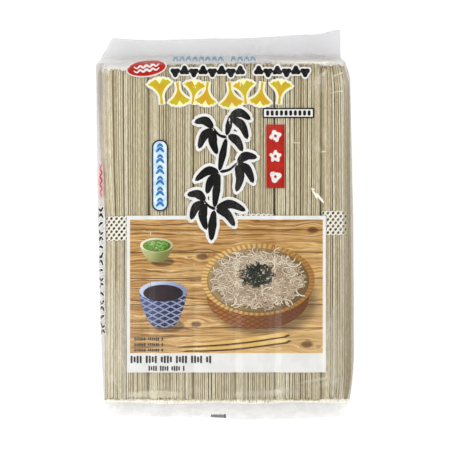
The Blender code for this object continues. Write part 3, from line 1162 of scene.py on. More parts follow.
INKS = {
    "white": ink_finish("ink_white", srgb(232, 232, 229), srgb(238, 238, 236)),
    "black": ink_finish("ink_black", srgb(9, 8, 7)),
    "yellow": ink_finish("ink_yellow", srgb(212, 170, 36), srgb(200, 190, 44), 6.0),
    "cream": ink_finish("ink_cream", srgb(248, 240, 176)),
    "red": ink_finish("ink_red", srgb(178, 26, 12), srgb(190, 36, 18)),
    "pale_red": ink_finish("ink_pale_red", srgb(224, 184, 180)),
    "sky": ink_finish("ink_sky", srgb(76, 154, 188)),
    "blue": ink_finish("ink_blue", srgb(48, 122, 186)),
    "ice": ink_finish("ink_ice", srgb(196, 224, 242), srgb(232, 242, 248), 5.0),
    "navy": ink_finish("ink_navy", srgb(44, 52, 70)),
    "grey": ink_finish("ink_grey", srgb(96, 96, 98)),
}
print("inks:", ", ".join(INKS))

# %% [markdown]
# ## The panel
# The lower half of the front is a white panel with a picture of a dish on a plank table. The panel is one
# sheet of white ink, and the picture is a stack of flat fields in front of it. Depths are in millimetres
# under the film's outer face.

# %% The white panel
PANEL = (-68.4, -102.6, 70.2, 6.5)
PICTURE = (-66.0, -89.1, 68.1, 3.75)
ink_in("panel", [box_outline(*PANEL)], 0.30, INKS["white"])
print("the panel has", len(prints["panel"].data.polygons), "faces")

# %% [markdown]
# ### Planks
# The table is drawn by its finish alone. Grain runs along the boards, so noise is stretched along X. Knots
# bend the grain: near a knot the grain's height is pushed away from the knot's middle, as the fibres of
# real wood are. Dark lines at a few heights are the gaps between the boards, and each dish leaves a soft
# shadow.

# %% Things on the planks
# Each vessel: X and Y of its rim's middle, the rim's half width and height, its depth and its foot's share.
BASKET = (23.0, -38.0, 39.5, 25.0, 12.0, 0.9)
CUP = (-43.0, -46.0, 16.5, 7.0, 21.0, 0.62)
DISH = (-47.5, -14.0, 11.5, 5.0, 8.5, 0.66)
SHADE_TO = (4.0, -3.0)


def shadow_of(vessel, x, y):
    """A soft oval under a vessel's foot, moved away from the light."""
    middle_x, middle_y, half_width, half_height, depth, foot = vessel
    dx = (x - middle_x - SHADE_TO[0]) / (half_width * foot)
    dy = (y - middle_y + depth - SHADE_TO[1]) / (half_height * foot)
    return (dx * dx + dy * dy).step(1.45, 0.8)


print("the basket is", 2 * BASKET[2], "mm wide")

# %% Knots and boards
KNOTS = ((-16.0, -22.0, 4.0), (57.0, -83.0, 4.0), (-20.0, -69.0, 3.5), (61.0, -3.5, 3.5))
KNOT_STRETCH = 1.9  # a knot is this much longer along the grain
KNOT_PUSH = -0.75
BOARD_GAPS = (-3.5, -19.0, -37.0, -55.5, -71.5)


def knot_distance(knot, x, y):
    """How far a place is from the middle of a knot, in knot sizes."""
    knot_x, knot_y, size = knot
    dx = (x - knot_x) / (size * KNOT_STRETCH)
    dy = (y - knot_y) / size
    return (dx * dx + dy * dy) ** 0.5


def grain_lift(f, y, distances):
    """How far the grain is moved along Y: it wanders, and it bends round each knot."""
    lift = f.grain((34.0, 7.0, 9.0), detail=2.0, seed=1.0) * 7.0
    for near, (_, knot_y, _) in zip(distances, KNOTS):
        lift = lift + (y - knot_y) * near.step(2.2, 0.3) * KNOT_PUSH
    return lift


print(len(KNOTS), "knots and", len(BOARD_GAPS), "gaps")

# %% The plank finish
WOOD = (
    (0.30, srgb(112, 70, 30)),
    (0.42, srgb(170, 122, 64)),
    (0.52, srgb(204, 160, 96)),
    (0.66, srgb(238, 206, 146)),
)
VEIN = srgb(96, 56, 22)
PORE = srgb(112, 70, 34)
SUNLIT = srgb(240, 206, 138)
DARK_FIBRE = srgb(138, 92, 48)
PALE_FIBRE = srgb(248, 224, 172)
KNOT_EYE = srgb(104, 60, 30)
GAP_SHADE = srgb(74, 44, 20)
VESSEL_SHADE = srgb(70, 40, 18)


def plank_finish():
    f = Finish("plank_table")
    x, y, _ = f.axes()
    distances = [knot_distance(knot, x, y) for knot in KNOTS]
    grain_y = y + grain_lift(f, y, distances)
    flow = f.add("ShaderNodeCombineXYZ", None, {"X": x * MM, "Y": grain_y * MM, "Z": 0.0})
    broad = f.grain((70.0, 5.0, 9.0), detail=3.0, seed=6.0, vector=flow)
    fine = f.grain((24.0, 0.8, 9.0), detail=4.0, seed=2.0, vector=flow)
    pores = f.grain((9.0, 0.5, 9.0), detail=2.0, seed=8.0, vector=flow)
    fibres = f.grain((36.0, 0.55, 9.0), detail=2.0, seed=12.0, vector=flow)
    veins = abs((grain_y + broad * 5.0).wrap(6.5)).step(0.75, 0.15) * broad.step(0.35, 0.6)
    eyes = strongest([near.step(0.75, 0.35) for near in distances])
    gaps = strongest([abs(y - gap + (broad - 0.5) * 1.4).step(0.55, 0.15) for gap in BOARD_GAPS])
    layers = [
        (veins * 0.85, VEIN),
        (pores.step(0.56, 0.7) * 0.6, PORE),
        ((x - y).step(20.0, 160.0) * 0.5, SUNLIT),
        (fibres.step(0.53, 0.66) * 0.6, DARK_FIBRE),
        (fibres.step(0.46, 0.34) * 0.5, PALE_FIBRE),
        (eyes * 0.85, KNOT_EYE),
        (gaps * 0.85, GAP_SHADE),
    ]
    layers += [(shadow_of(vessel, x, y) * 0.65, VESSEL_SHADE) for vessel in (BASKET, CUP, DISH)]
    colour = f.add("ShaderNodeValToRGB", {"stops": WOOD}, {"Fac": broad * 0.5 + fine * 0.5})
    return f.close(f.glaze(colour, layers), 0.45, Specular_IOR_Level=0.1)


PLANKS = plank_finish()
ink_in("planks", [box_outline(*PICTURE)], 0.27, PLANKS)
print("made", PLANKS.name)

# %% [markdown]
# ### Basket, cup and dish
# A round basket, a cup of dipping sauce and a small dish of herbs are drawn as they look at a slant: a rim
# that is an oval, an oval inside it, and a wall that narrows down to a foot. A finish may have ribs that
# follow the angle round the rim, rings, or a slanting lattice like a weave. All of them are lighter on the
# left, where the light is.


# %% Vessel outlines
RIM_STEPS = 24
SIDE_STEPS = 12
SIDE_CURVE = 1.7  # 1 is a straight side, more keeps it wide for longer


def wall_outline(vessel):
    """The outline of a vessel's outside: the far half of its rim, its sides and the near half of its foot."""
    x, y, half_width, half_height, depth, foot = vessel
    turns = [math.pi * i / RIM_STEPS for i in range(RIM_STEPS + 1)]
    shares = [i / SIDE_STEPS for i in range(1, SIDE_STEPS)]
    side = [(half_width * (1 - (1 - foot) * share**SIDE_CURVE), y - depth * share) for share in shares]
    rim = [(x + half_width * math.cos(turn), y + half_height * math.sin(turn)) for turn in turns]
    base = [(x - half_width * foot * math.cos(turn), y - depth - half_height * foot * math.sin(turn))
            for turn in turns]
    return rim + [(x - out, up) for out, up in side] + base + [(x + out, up) for out, up in side[::-1]]


def rim_oval(vessel, share, sink=0.0):
    """An oval inside a vessel's rim, at a share of its size and sunk by some millimetres."""
    x, y, half_width, half_height = vessel[:4]
    return oval_outline(x, y - sink, half_width * share, half_height * share, steps=64)


print("the basket's outline has", len(wall_outline(BASKET)), "points")


# %% The finish of a vessel
def vessel_finish(name, vessel, dark, light, mark, ribs=0, rings=0.0, lattice=0.0):
    """Lighter towards the left, with ribs round the rim, rings, or a lattice of scales in a second colour."""
    f = Finish(name)
    x, y, _ = f.axes()
    dx = (x - vessel[0]) / vessel[2]
    dy = (y - vessel[1]) / vessel[3]
    colour = f.mix((0.5 - dx * 0.45 + dy * 0.1).step(0.1, 0.9), dark, light)
    if ribs:
        turn = f.math("ARCTAN2", dy, dx) * ribs
        colour = f.mix((f.math("SINE", turn) * 0.5 + 0.5).step(0.4, 0.8) * 0.6, colour, mark)
    if rings:
        out = (dx * dx + dy * dy) ** 0.5 * rings
        colour = f.mix((f.math("SINE", out) * 0.5 + 0.5).step(0.5, 0.9) * 0.5, colour, mark)
    if lattice:
        row = (y + x * 0.5).wrap(lattice)
        column = (y - x * 0.5).wrap(lattice)
        line = abs(row).least(abs(column)).step(lattice * 0.16, lattice * 0.06)
        colour = f.mix(line * 0.75, colour, mark)
    return f.close(colour, 0.45, Specular_IOR_Level=0.1)


def print_vessel(name, place, wall, rim, inside, lip, sink):
    """Prints a vessel: its wall, its rim and what is inside the rim. lip is the inside's share of the rim."""
    parts = (
        ("_wall", wall_outline(place), 0.24, wall),
        ("_rim", rim_oval(place, 1.0), 0.21, rim),
        ("_inside", rim_oval(place, lip, sink), 0.17, inside),
    )
    for ending, outline, depth, colours in parts:
        ink_in(name + ending, [outline], depth, vessel_finish(name + ending, place, **colours))


print_vessel(
    "basket", BASKET,
    {"dark": srgb(118, 66, 26), "light": srgb(176, 114, 56), "mark": srgb(92, 50, 20), "lattice": 3.2},
    {"dark": srgb(176, 128, 62), "light": srgb(228, 192, 118), "mark": srgb(134, 84, 38), "ribs": 64},
    {"dark": srgb(116, 92, 56), "light": srgb(168, 142, 94), "mark": srgb(96, 72, 42), "rings": 50.0},
    0.9, 0.6,
)
print_vessel(
    "cup", CUP,
    {"dark": srgb(30, 40, 78), "light": srgb(84, 100, 150), "mark": srgb(176, 186, 214), "lattice": 4.2},
    {"dark": srgb(136, 146, 182), "light": srgb(206, 214, 236), "mark": srgb(120, 130, 170)},
    {"dark": srgb(28, 16, 22), "light": srgb(58, 42, 50), "mark": srgb(28, 16, 22)},
    0.84, 1.4,
)
print_vessel(
    "dish", DISH,
    {"dark": srgb(128, 132, 70), "light": srgb(206, 206, 148), "mark": srgb(110, 116, 60)},
    {"dark": srgb(186, 186, 140), "light": srgb(236, 234, 204), "mark": srgb(150, 150, 100)},
    {"dark": srgb(84, 104, 44), "light": srgb(128, 150, 74), "mark": srgb(60, 84, 30)},
    0.84, 0.4,
)
print(len(prints), "fields of print so far")

# %% [markdown]
# ### Chopsticks
# Two chopsticks lie in front of the vessels. A stick that narrows is a stroke whose widest place lies near
# one end, so one brush can draw them and the bamboo alike. The shade is the same stroke again, darker, and
# moved away from the light, one layer further down.

# %% Chopsticks
CHOPSTICKS = (((-34.0, -84.0), (6.0, -81.0), (44.0, -75.5)), ((-31.0, -86.8), (6.0, -84.8), (45.0, -79.5)))
CHOPSTICK_WIDTH = 3.0
CHOPSTICK_WIDEST = 0.95
CHOPSTICK_SHADE_TO = (1.2, -1.1)
UMBER = ink_finish("ink_umber", srgb(92, 58, 28))
STRAW = ink_finish("ink_straw", srgb(226, 186, 104), srgb(238, 206, 132))


def chopsticks(move):
    """Both chopsticks, which are thickest near their handles' ends, moved by an X and a Y."""
    lines = [[(x + move[0], y + move[1]) for x, y in line] for line in CHOPSTICKS]
    return [stroke_outline(line, CHOPSTICK_WIDTH, taper=CHOPSTICK_WIDEST) for line in lines]


ink_in("chopstick_shade", chopsticks(CHOPSTICK_SHADE_TO), 0.24, UMBER)
ink_in("chopsticks", chopsticks((0.0, 0.0)), 0.22, STRAW)
print("2 chopsticks,", len(prints["chopsticks"].data.polygons), "faces")

# %% [markdown]
# ### Pictured noodles and herbs
# The heap in the basket is many loose curls. Geometry Nodes scatter arcs of different size and turn over
# an oval, give each a flat ribbon, and lift each a hair above the one before, so that they lie over one
# another. The same tree draws the cut seaweed on top with straighter pieces, and the herbs with tight ones.

# %% The curl tree
CURL_INPUTS = {
    "Count": "Int",
    "Half Width": "Float",
    "Half Height": "Float",
    "Least Radius": "Float",
    "Most Radius": "Float",
    "Sweep": "Float",
    "Ribbon": "Float",
    "Lift": "Float",
    "Rise": "Float",
    "Seed": "Int",
    "Material": "Material",
}
SLANT = 0.75  # a level circle seen at a slant is this much less high than wide
ARC_POINTS = 26
RIBBON_THICKNESS = 0.0006 * MM
RISE = 0.00015 * MM  # each curl lies this much over the one before


def curl_tree():
    """Arcs of random size and turn, scattered over an oval and given a flat ribbon each."""
    net, given = geometry_tree("loose_curls", CURL_INPUTS)
    seed = given["Seed"]
    points = net.add("GeometryNodePoints", None, {"Count": given["Count"]})
    turn = chance(net, 0.0, 2 * math.pi, seed, 1)
    out = chance(net, 0.0, 1.0, seed, 2) ** 0.5
    index = net.add("GeometryNodeInputIndex")
    spot = {
        "X": net.math("COSINE", turn) * out * given["Half Width"],
        "Y": net.math("SINE", turn) * out * given["Half Height"] * (1 / SLANT),
        "Z": given["Lift"] + index * given["Rise"],
    }
    placed = {"Geometry": points, "Position": net.add("ShaderNodeCombineXYZ", None, spot)}
    points = net.add("GeometryNodeSetPosition", None, placed)
    arc = net.add("GeometryNodeCurveArc", {"mode": "RADIUS"}, {
        "Resolution": ARC_POINTS,
        "Radius": 1.0,
        "Start Angle": given["Sweep"] * -0.5,
        "Sweep Angle": given["Sweep"],
    }, output="Curve")
    arc = net.add("GeometryNodeTransform", None, {"Geometry": arc, "Translation": (-1.0, 0.0, 0.0)})
    size = chance(net, given["Least Radius"], given["Most Radius"], seed, 3)
    copies = net.add("GeometryNodeInstanceOnPoints", None, {
        "Points": points,
        "Instance": arc,
        "Rotation": net.add("ShaderNodeCombineXYZ", None, {"Z": chance(net, 0.0, 2 * math.pi, seed, 4)}),
        "Scale": net.add("ShaderNodeCombineXYZ", None, {"X": size, "Y": size, "Z": 1.0}),
    })
    kept = {"Geometry": copies, "Name": "tone", "Value": chance(net, 0.0, 1.0, seed, 5)}
    copies = net.add("GeometryNodeStoreNamedAttribute", {"domain": "INSTANCE"}, kept)
    curves = net.add("GeometryNodeRealizeInstances", None, {"Geometry": copies})
    curves = net.add("GeometryNodeTransform", None, {"Geometry": curves, "Scale": (1.0, SLANT, 1.0)})
    flat_bar = net.add("GeometryNodeCurvePrimitiveQuadrilateral", None, {
        "Width": given["Ribbon"], "Height": RIBBON_THICKNESS,
    })
    across, *_ = axes_of(net)
    kept = {"Geometry": flat_bar, "Name": "across", "Value": across / given["Ribbon"] * 2.0}
    flat_bar = net.add("GeometryNodeStoreNamedAttribute", None, kept)
    ribbons = net.add("GeometryNodeCurveToMesh", None, {
        "Curve": curves, "Profile Curve": flat_bar, "Fill Caps": True,
    })
    end_tree(net, ribbons, given["Material"])
    return net


curls = curl_tree()
print("the curl tree has", len(curls.tree.nodes), "nodes")


# %% Scatter the curls
def strand_finish(name, edge, stops):
    """A colour that follows each strand's own random number, and a darker edge on both sides of it."""
    f = Finish(name)
    tone = f.add("ShaderNodeAttribute", {"attribute_name": "tone"}, output="Fac")
    across = f.add("ShaderNodeAttribute", {"attribute_name": "across"}, output="Fac")
    colour = f.add("ShaderNodeValToRGB", {"stops": stops}, {"Fac": tone})
    colour = f.mix(abs(across).step(0.45, 0.95), colour, edge)
    return f.close(colour, 0.5, Specular_IOR_Level=0.1)


def scatter(name, oval, share, depth, material, radii, ribbon, **given):
    """Curls over a share of a vessel's rim, laid on the film's curve. radii are the least and the most."""
    values = {
        "Half Width": oval[2] * share * MM, "Half Height": oval[3] * share * MM,
        "Least Radius": radii[0] * MM, "Most Radius": radii[1] * MM,
        "Ribbon": ribbon * MM, "Rise": RISE, "Lift": 0.0, "Material": material, **given,
    }
    made = grow(curls, "print_" + name, values)
    for vert in made.data.vertices:
        vert.co.x += oval[0] * MM
        vert.co.y += oval[1] * MM
        vert.co.z += film_above(vert.co.x, vert.co.y) - depth * MM
    prints[name] = made


TOPPING = (BASKET[0], BASKET[1] + 3.0, *BASKET[2:])  # on top of the heap
STRAND = strand_finish("pictured_noodle", srgb(98, 74, 54), [
    (0.0, srgb(186, 162, 132)), (0.5, srgb(216, 197, 170)), (1.0, srgb(240, 228, 206))])
SEAWEED = strand_finish("pictured_seaweed", srgb(18, 22, 18), [
    (0.0, srgb(30, 38, 30)), (0.7, srgb(52, 62, 50)), (1.0, srgb(84, 94, 80))])
HERB = strand_finish("pictured_herb", srgb(40, 92, 24), [
    (0.0, srgb(66, 140, 36)), (0.6, srgb(128, 186, 78)), (1.0, srgb(206, 222, 160))])
scatter("noodle_heap", BASKET, 0.75, 0.15, STRAND, (2.2, 5.6), 1.25, Count=740, Seed=21, Sweep=3.1)
scatter("seaweed", TOPPING, 0.29, 0.035, SEAWEED, (5.0, 15.0), 0.7, Count=150, Seed=5, Sweep=0.6)
scatter("herbs", DISH, 0.5, 0.15, HERB, (0.6, 1.7), 0.7, Count=46, Seed=9, Sweep=5.6)
print("pictured noodles:", len(prints["noodle_heap"].data.polygons), "faces")

# %% [markdown]
# ### Lines under the picture
# The weight and a serving note stand here on a real pack. They are replaced by rows of short upright
# strokes, which give the same grey at a distance and say nothing.


# %% Rows of strokes
SHORTER = 0.78  # every third stroke is this share of the others' height
STROKE_ROUNDING = 0.7


def tally_row(left, right, y, height, pitch, group, weight=0.32):
    """Upright strokes between two places, in groups with a gap after each, and of slightly uneven height."""
    outlines = []
    for i in range(int((right - left) / pitch)):
        if i % (group + 1) == group:
            continue
        x = left + pitch * (i + 0.5)
        half = height / 2 * (SHORTER if i % 3 == 1 else 1.0)
        half_width = pitch * weight
        box = (x - half_width, y - half, x + half_width, y + half)
        outlines.append(box_outline(*box, half_width * STROKE_ROUNDING, 2))
    return outlines


SMALL_ROWS_AT = (-79.3, -83.2, -87.0)

ink_in("weight_row", tally_row(-66.0, -8.3, -93.5, 5.2, 2.1, 4), 0.12, INKS["black"])
ink_in("note_row", tally_row(-53.5, -27.8, -99.7, 3.6, 1.6, 4), 0.12, INKS["black"])
small_rows = [stroke for y in SMALL_ROWS_AT for stroke in tally_row(-63.2, -41.7, y, 2.2, 1.35, 6)]
ink_in("small_rows", small_rows, 0.12, INKS["black"])
print(len(small_rows), "small strokes")

# %% [markdown]
# ### Bamboo
# The big black figure down the middle is drawn as ink painters draw bamboo: a stalk of a few segments,
# thin twigs that leave it at its joints, and hanging leaves that are one stroke each. The white margin is
# the same strokes again, wider, on a deeper sheet.

# %% Bamboo strokes
STALK = (
    ((-9.5, -10.5), (-8.8, 0.0), (-7.6, 10.0)),
    ((-7.2, 12.5), (-6.0, 24.0), (-4.2, 35.5)),
    ((-3.8, 38.0), (-1.6, 49.0), (0.8, 60.0)),
    ((1.2, 62.5), (2.6, 69.0), (3.8, 76.5)),
)
TWIGS = (
    ((-6.6, 11.0), (-11.0, 13.0), (-14.5, 17.0)),
    ((-3.6, 37.0), (3.0, 38.5), (8.5, 43.5)),
    ((1.2, 61.0), (-4.0, 62.5), (-8.0, 67.5)),
)
# A leaf: its foot, a point on its way and its tip.
LEAVES = (
    ((-14.0, 17.0), (-19.0, 21.5), (-26.0, 21.0)),
    ((-14.5, 16.0), (-20.5, 12.0), (-23.5, 4.0)),
    ((-13.5, 14.5), (-15.5, 6.5), (-13.0, -3.0)),
    ((-6.0, 10.5), (1.0, 8.0), (6.5, -0.5)),
    ((-5.8, 12.0), (4.0, 14.5), (14.0, 10.0)),
    ((9.0, 43.5), (14.5, 48.0), (22.0, 47.0)),
    ((9.0, 42.5), (15.5, 38.5), (19.5, 29.5)),
    ((8.0, 41.5), (10.5, 33.5), (8.0, 23.5)),
    ((-4.6, 36.5), (-12.0, 37.5), (-20.5, 31.0)),
    ((-5.0, 35.5), (-10.0, 30.0), (-12.5, 22.0)),
    ((-8.5, 67.5), (-14.0, 72.5), (-21.0, 71.5)),
    ((-8.5, 66.5), (-14.5, 62.0), (-18.0, 53.5)),
    ((-7.5, 65.5), (-8.5, 58.0), (-5.5, 49.5)),
    ((4.0, 76.0), (10.5, 78.0), (17.5, 73.5)),
    ((4.2, 74.0), (11.5, 69.5), (15.5, 60.0)),
    ((2.4, 62.0), (8.0, 59.0), (12.0, 51.5)),
)
BAMBOO_MARGIN = 2.1
STALK_WIDTH = 6.2
STALK_THINS_BY = 0.5
TWIG_WIDTH = 2.2
LEAF_WIDTH = 6.5


def bamboo(margin):
    """Every stroke of the sprig, made wider all round by a margin."""
    widths = [STALK_WIDTH - STALK_THINS_BY * i for i in range(len(STALK))]
    stalk = [stroke_outline(points, width, margin, taper=0.5) for points, width in zip(STALK, widths)]
    twigs = [stroke_outline(points, TWIG_WIDTH, margin, taper=0.2) for points in TWIGS]
    leaves = [stroke_outline(points, LEAF_WIDTH, margin, taper=0.42) for points in LEAVES]
    return stalk + twigs + leaves


ink_in("bamboo_margin", bamboo(BAMBOO_MARGIN), 0.15, INKS["white"])
ink_in("bamboo", bamboo(0.0), 0.10, INKS["black"])
print(len(LEAVES), "leaves")

# %% [markdown]
# ### Title row
# Two groups of four yellow fans, like the leaves of a maidenhair tree, stand where the title goes. A fan
# is one outline: both edges swing out from a thin stalk to a scalloped rim with a notch in its middle. The
# fans stand and hang by turns, and each group starts with a larger one.


# %% Fans
FAN_SPREAD = 0.66
FAN_REACH = 1.02
NOTCH = 0.3
NOTCH_WIDTH = 0.13
NOTCH_MARGIN = 0.5  # a margin from this on has no notch
SCALLOP = 0.03
SCALLOP_RATE = 18
STALK_LENGTH = 0.3
STALK_HALF = 0.045
STALK_FOOT_HALF = 0.075
FAN_STEPS = 10


def fan_outline(x, y, size, lean, margin):
    """A leaf shaped like a fan, whose foot is at a point, with a notch in its far edge."""
    right_edge = []
    for i in range(1, FAN_STEPS):
        out = i / FAN_STEPS
        across = STALK_HALF + out * math.sin(FAN_SPREAD * out**0.8)
        right_edge.append((across, STALK_LENGTH + out * math.cos(FAN_SPREAD * out)))
    rim = []
    for i in range(-FAN_STEPS, FAN_STEPS + 1):
        share = i / FAN_STEPS
        notch = NOTCH * math.exp(-((share / NOTCH_WIDTH) ** 2)) * (margin < NOTCH_MARGIN)
        out = FAN_REACH + SCALLOP * math.cos(share * SCALLOP_RATE) - notch
        turn = -FAN_SPREAD * share
        rim.append((out * math.sin(turn), STALK_LENGTH + out * math.cos(turn)))
    left_edge = [(-across, up) for across, up in right_edge[::-1]]
    foot = [(-STALK_FOOT_HALF, 0.0), (STALK_FOOT_HALF, 0.0)]
    points = np.array([*foot, *right_edge, *rim, *left_edge]) * size
    points = widened(points, margin)
    turned = points @ np.array([[math.cos(lean), math.sin(lean)], [-math.sin(lean), math.cos(lean)]])
    return [tuple(point) for point in turned + (x, y)]


def widened(points, margin):
    """An outline moved outwards by a margin."""
    before, after = np.roll(points, 1, axis=0), np.roll(points, -1, axis=0)
    along = after - before
    along /= np.linalg.norm(along, axis=1)[:, None]
    return points + margin * np.stack([along[:, 1], -along[:, 0]], axis=1)


# Each fan: its X, whether it hangs down, and its size.
FANS = [(-43.8 + 10.6 * i, i % 2, 13.2 if i == 0 else 12.0) for i in range(4)]
FANS += [(3.0 + 11.5 * i, (i + 1) % 2, 13.2 if i == 0 else 12.2) for i in range(4)]
FANS_HANG_FROM = 99.3
FANS_STAND_ON = 84.2
FAN_TILT = 0.12


def fan_row(margin):
    outlines = []
    for i, (x, hanging, size) in enumerate(FANS):
        tilt = FAN_TILT * (-1) ** (i // 2)
        foot, lean = (FANS_HANG_FROM, math.pi) if hanging else (FANS_STAND_ON, 0.0)
        outlines.append(fan_outline(x, foot, size, lean + tilt, margin))
    return outlines


ink_in("fan_margin", fan_row(1.7), 0.15, INKS["white"])
ink_in("fan_rim", fan_row(0.7), 0.12, INKS["cream"])
ink_in("fans", fan_row(0.0), 0.09, INKS["yellow"])
print(len(FANS), "fans")

# %% [markdown]
# ### Kernels, waves and boxes
# A row of black buckwheat kernels stands above the fans, and a row of small pale waves above that. A red
# oval, a white box, a red box and a rounded tablet fill out the corners, each with plain marks of its own.


# %% Kernel row
KERNELS_FROM = -34.6
KERNEL_PITCH = 6.45
KERNEL_SIZE = 3.0
KERNELS = 15
NO_KERNEL = 8  # the row has a gap here
KERNELS_Y = 106.8
KERNEL_SHIFT = 0.5
KERNEL_SWELL = 0.22


def kernel_row(margin):
    """Three-sided kernels side by side, which point up and down by turns."""
    outlines = []
    for i in range(KERNELS):
        if i != NO_KERNEL:
            up = 1 if i % 2 else -1
            x, y = KERNELS_FROM + KERNEL_PITCH * i, KERNELS_Y + KERNEL_SHIFT * up
            outlines.append(lobed_outline(x, y, KERNEL_SIZE, 3, KERNEL_SWELL, up * math.pi / 2, margin))
    return outlines


ink_in("kernel_margin", kernel_row(1.25), 0.15, INKS["white"])
ink_in("kernels", kernel_row(0.0), 0.10, INKS["black"])
print(len(prints), "prints")

# %% Wave row
SKY_WAVES_FROM = -34.5
SKY_WAVES_Y = 115.9
SKY_WAVE_PITCH = 4.5
SKY_WAVE_SPAN = 1.62
SKY_WAVES = 13
NO_SKY_WAVE = 8


def arch_outline(x, y, span, rise, width):
    """A small arch over a place. span and rise are half its extent across and up."""
    points = [(x - span, y - rise), (x, y + rise), (x + span, y - rise)]
    return stroke_outline(points, width, margin=0.1, taper=0.5, steps=5, ends=3)


sky_waves = [arch_outline(SKY_WAVES_FROM + SKY_WAVE_PITCH * i, SKY_WAVES_Y, SKY_WAVE_SPAN, 2.0, 1.9)
             for i in range(SKY_WAVES) if i != NO_SKY_WAVE]
ink_in("sky_waves", sky_waves, 0.05, INKS["sky"])
print(len(sky_waves), "waves")

# %% Emblem
EMBLEM = (-54.6, 109.1, 13.2, 5.2)
EMBLEM_LEAN = 0.13
EMBLEM_WAVES_AT = (1.3, -1.5)
EMBLEM_WAVE_STEP = (2.2, 0.3)
EMBLEM_WAVE_RISE = 0.7
EMBLEM_WAVE_WIDTH = 1.3


def emblem_oval(margin):
    return oval_outline(EMBLEM[0], EMBLEM[1], EMBLEM[2] + margin, EMBLEM[3] + margin, EMBLEM_LEAN)


def emblem_wave(height):
    """A wave through the oval, which leans as the oval does."""
    points = []
    for i in range(-4, 5):
        up = EMBLEM[1] + height + i * EMBLEM_WAVE_STEP[1] + EMBLEM_WAVE_RISE * (-1) ** i
        points.append((EMBLEM[0] + i * EMBLEM_WAVE_STEP[0], up))
    return stroke_outline(points, EMBLEM_WAVE_WIDTH, margin=0.15, taper=0.5)


ink_in("emblem_margin", [emblem_oval(1.1)], 0.15, INKS["white"])
ink_in("emblem_rim", [emblem_oval(0.55)], 0.13, INKS["pale_red"])
ink_in("emblem", [emblem_oval(0.0)], 0.11, INKS["red"])
ink_in("emblem_waves", [emblem_wave(height) for height in EMBLEM_WAVES_AT], 0.09, INKS["white"])
print(len(prints), "prints")

# %% Notice, seal and tablet
# Each box, and how far its end marks are from its ends.
NOTICE = (26.25, 74.4, 61.9, 81.4)
NOTICE_END = 3.4
SEAL = (28.7, 25.7, 41.4, 69.9)
SEAL_END = 7.905
TABLET = (-50.8, 9.5, -39.5, 59.3)
TABLET_END = 6.0


def shrunk(box, margin):
    """A box made smaller all round."""
    return box[0] + margin, box[1] + margin, box[2] - margin, box[3] - margin


def middle_marks(box, count, margin):
    """Places spread evenly down, or along, the middle of a box."""
    left, bottom, right, top = shrunk(box, margin)
    for i in range(count):
        share = i / (count - 1)
        if top - bottom > right - left:
            yield (left + right) / 2, top + (bottom - top) * share
        else:
            yield left + (right - left) * share, (top + bottom) / 2


ink_in("notice_edge", [box_outline(*NOTICE)], 0.15, INKS["black"])
ink_in("notice", [box_outline(*shrunk(NOTICE, 0.9))], 0.12, INKS["white"])
lozenges = [lobed_outline(x, y, 1.45, 2, 0.3, math.pi / 2) for x, y in middle_marks(NOTICE, 10, NOTICE_END)]
ink_in("notice_marks", lozenges, 0.09, INKS["black"])

ink_in("seal", [box_outline(*SEAL)], 0.15, INKS["red"])
PETALS = (4, 5, 3)
blossom_places = list(middle_marks(SEAL, len(PETALS), SEAL_END))
blossoms = [lobed_outline(x, y, 3.7, petals, 0.2, 0.3) for (x, y), petals in zip(blossom_places, PETALS)]
hearts = [oval_outline(x, y, 1.1, 1.1, steps=16) for x, y in blossom_places]
ink_in("seal_blossoms", blossoms, 0.12, INKS["white"])
ink_in("seal_hearts", hearts, 0.09, INKS["red"])

ink_in("tablet_edge", [box_outline(*TABLET, 5.2)], 0.15, INKS["navy"])
ink_in("tablet", [box_outline(*shrunk(TABLET, 1.0), 4.4)], 0.12, INKS["ice"])
# Two ripples at each mark: how far up each one is, its span, its rise and its width.
RIPPLES = ((-1.3, 2.664, 1.3, 2.1), (1.8, 1.944, 0.9, 1.8))
ripples = [arch_outline(x, y + up, *sizes)
           for x, y in middle_marks(TABLET, 6, TABLET_END) for up, *sizes in RIPPLES]
ink_in("tablet_ripples", ripples, 0.09, INKS["blue"])
print(len(prints), "prints")

# %% [markdown]
# ### Marks on the side and the bottom fin
# The design runs on round the left side, where only its near edge shows from the front, and a date is
# stamped on the bottom fin. Both become plain strokes.

# %% Side strokes and date
SIDE_MARKS_X = -86.4
SIDE_MARKS_INSET = 2.4
SIDE_MARKS_OVER = (-75.0, 13.0)
SIDE_MARKS_PITCH = 5.4
SIDE_MARKS_WIDTH = 1.5
BENDS = (1.5, -1.4, 0.5)
LEANS = (0.4, -0.9, 1.3, -0.3)
SIDE_OVAL_Y = 31.0
DATE_Y = -135.2


def side_x(y):
    """X of the marks round the left side, which follow the film where it narrows."""
    return max(SIDE_MARKS_X, left_side(y) + SIDE_MARKS_INSET)


def side_row(margin):
    """Short bent strokes, one above another, round the left side. Each bends its own way."""
    outlines = []
    for i, y in enumerate(np.arange(*SIDE_MARKS_OVER, SIDE_MARKS_PITCH)):
        bend = BENDS[i % len(BENDS)]
        lean = LEANS[i % len(LEANS)]
        x = side_x(y)
        points = [(x - 1.8, y - bend / 2 - lean), (x - 0.1, y + bend), (x + 1.6, y - bend / 2 + lean)]
        outlines.append(stroke_outline(points, SIDE_MARKS_WIDTH, 0.1 + margin, taper=0.5, steps=4, ends=3))
    return outlines


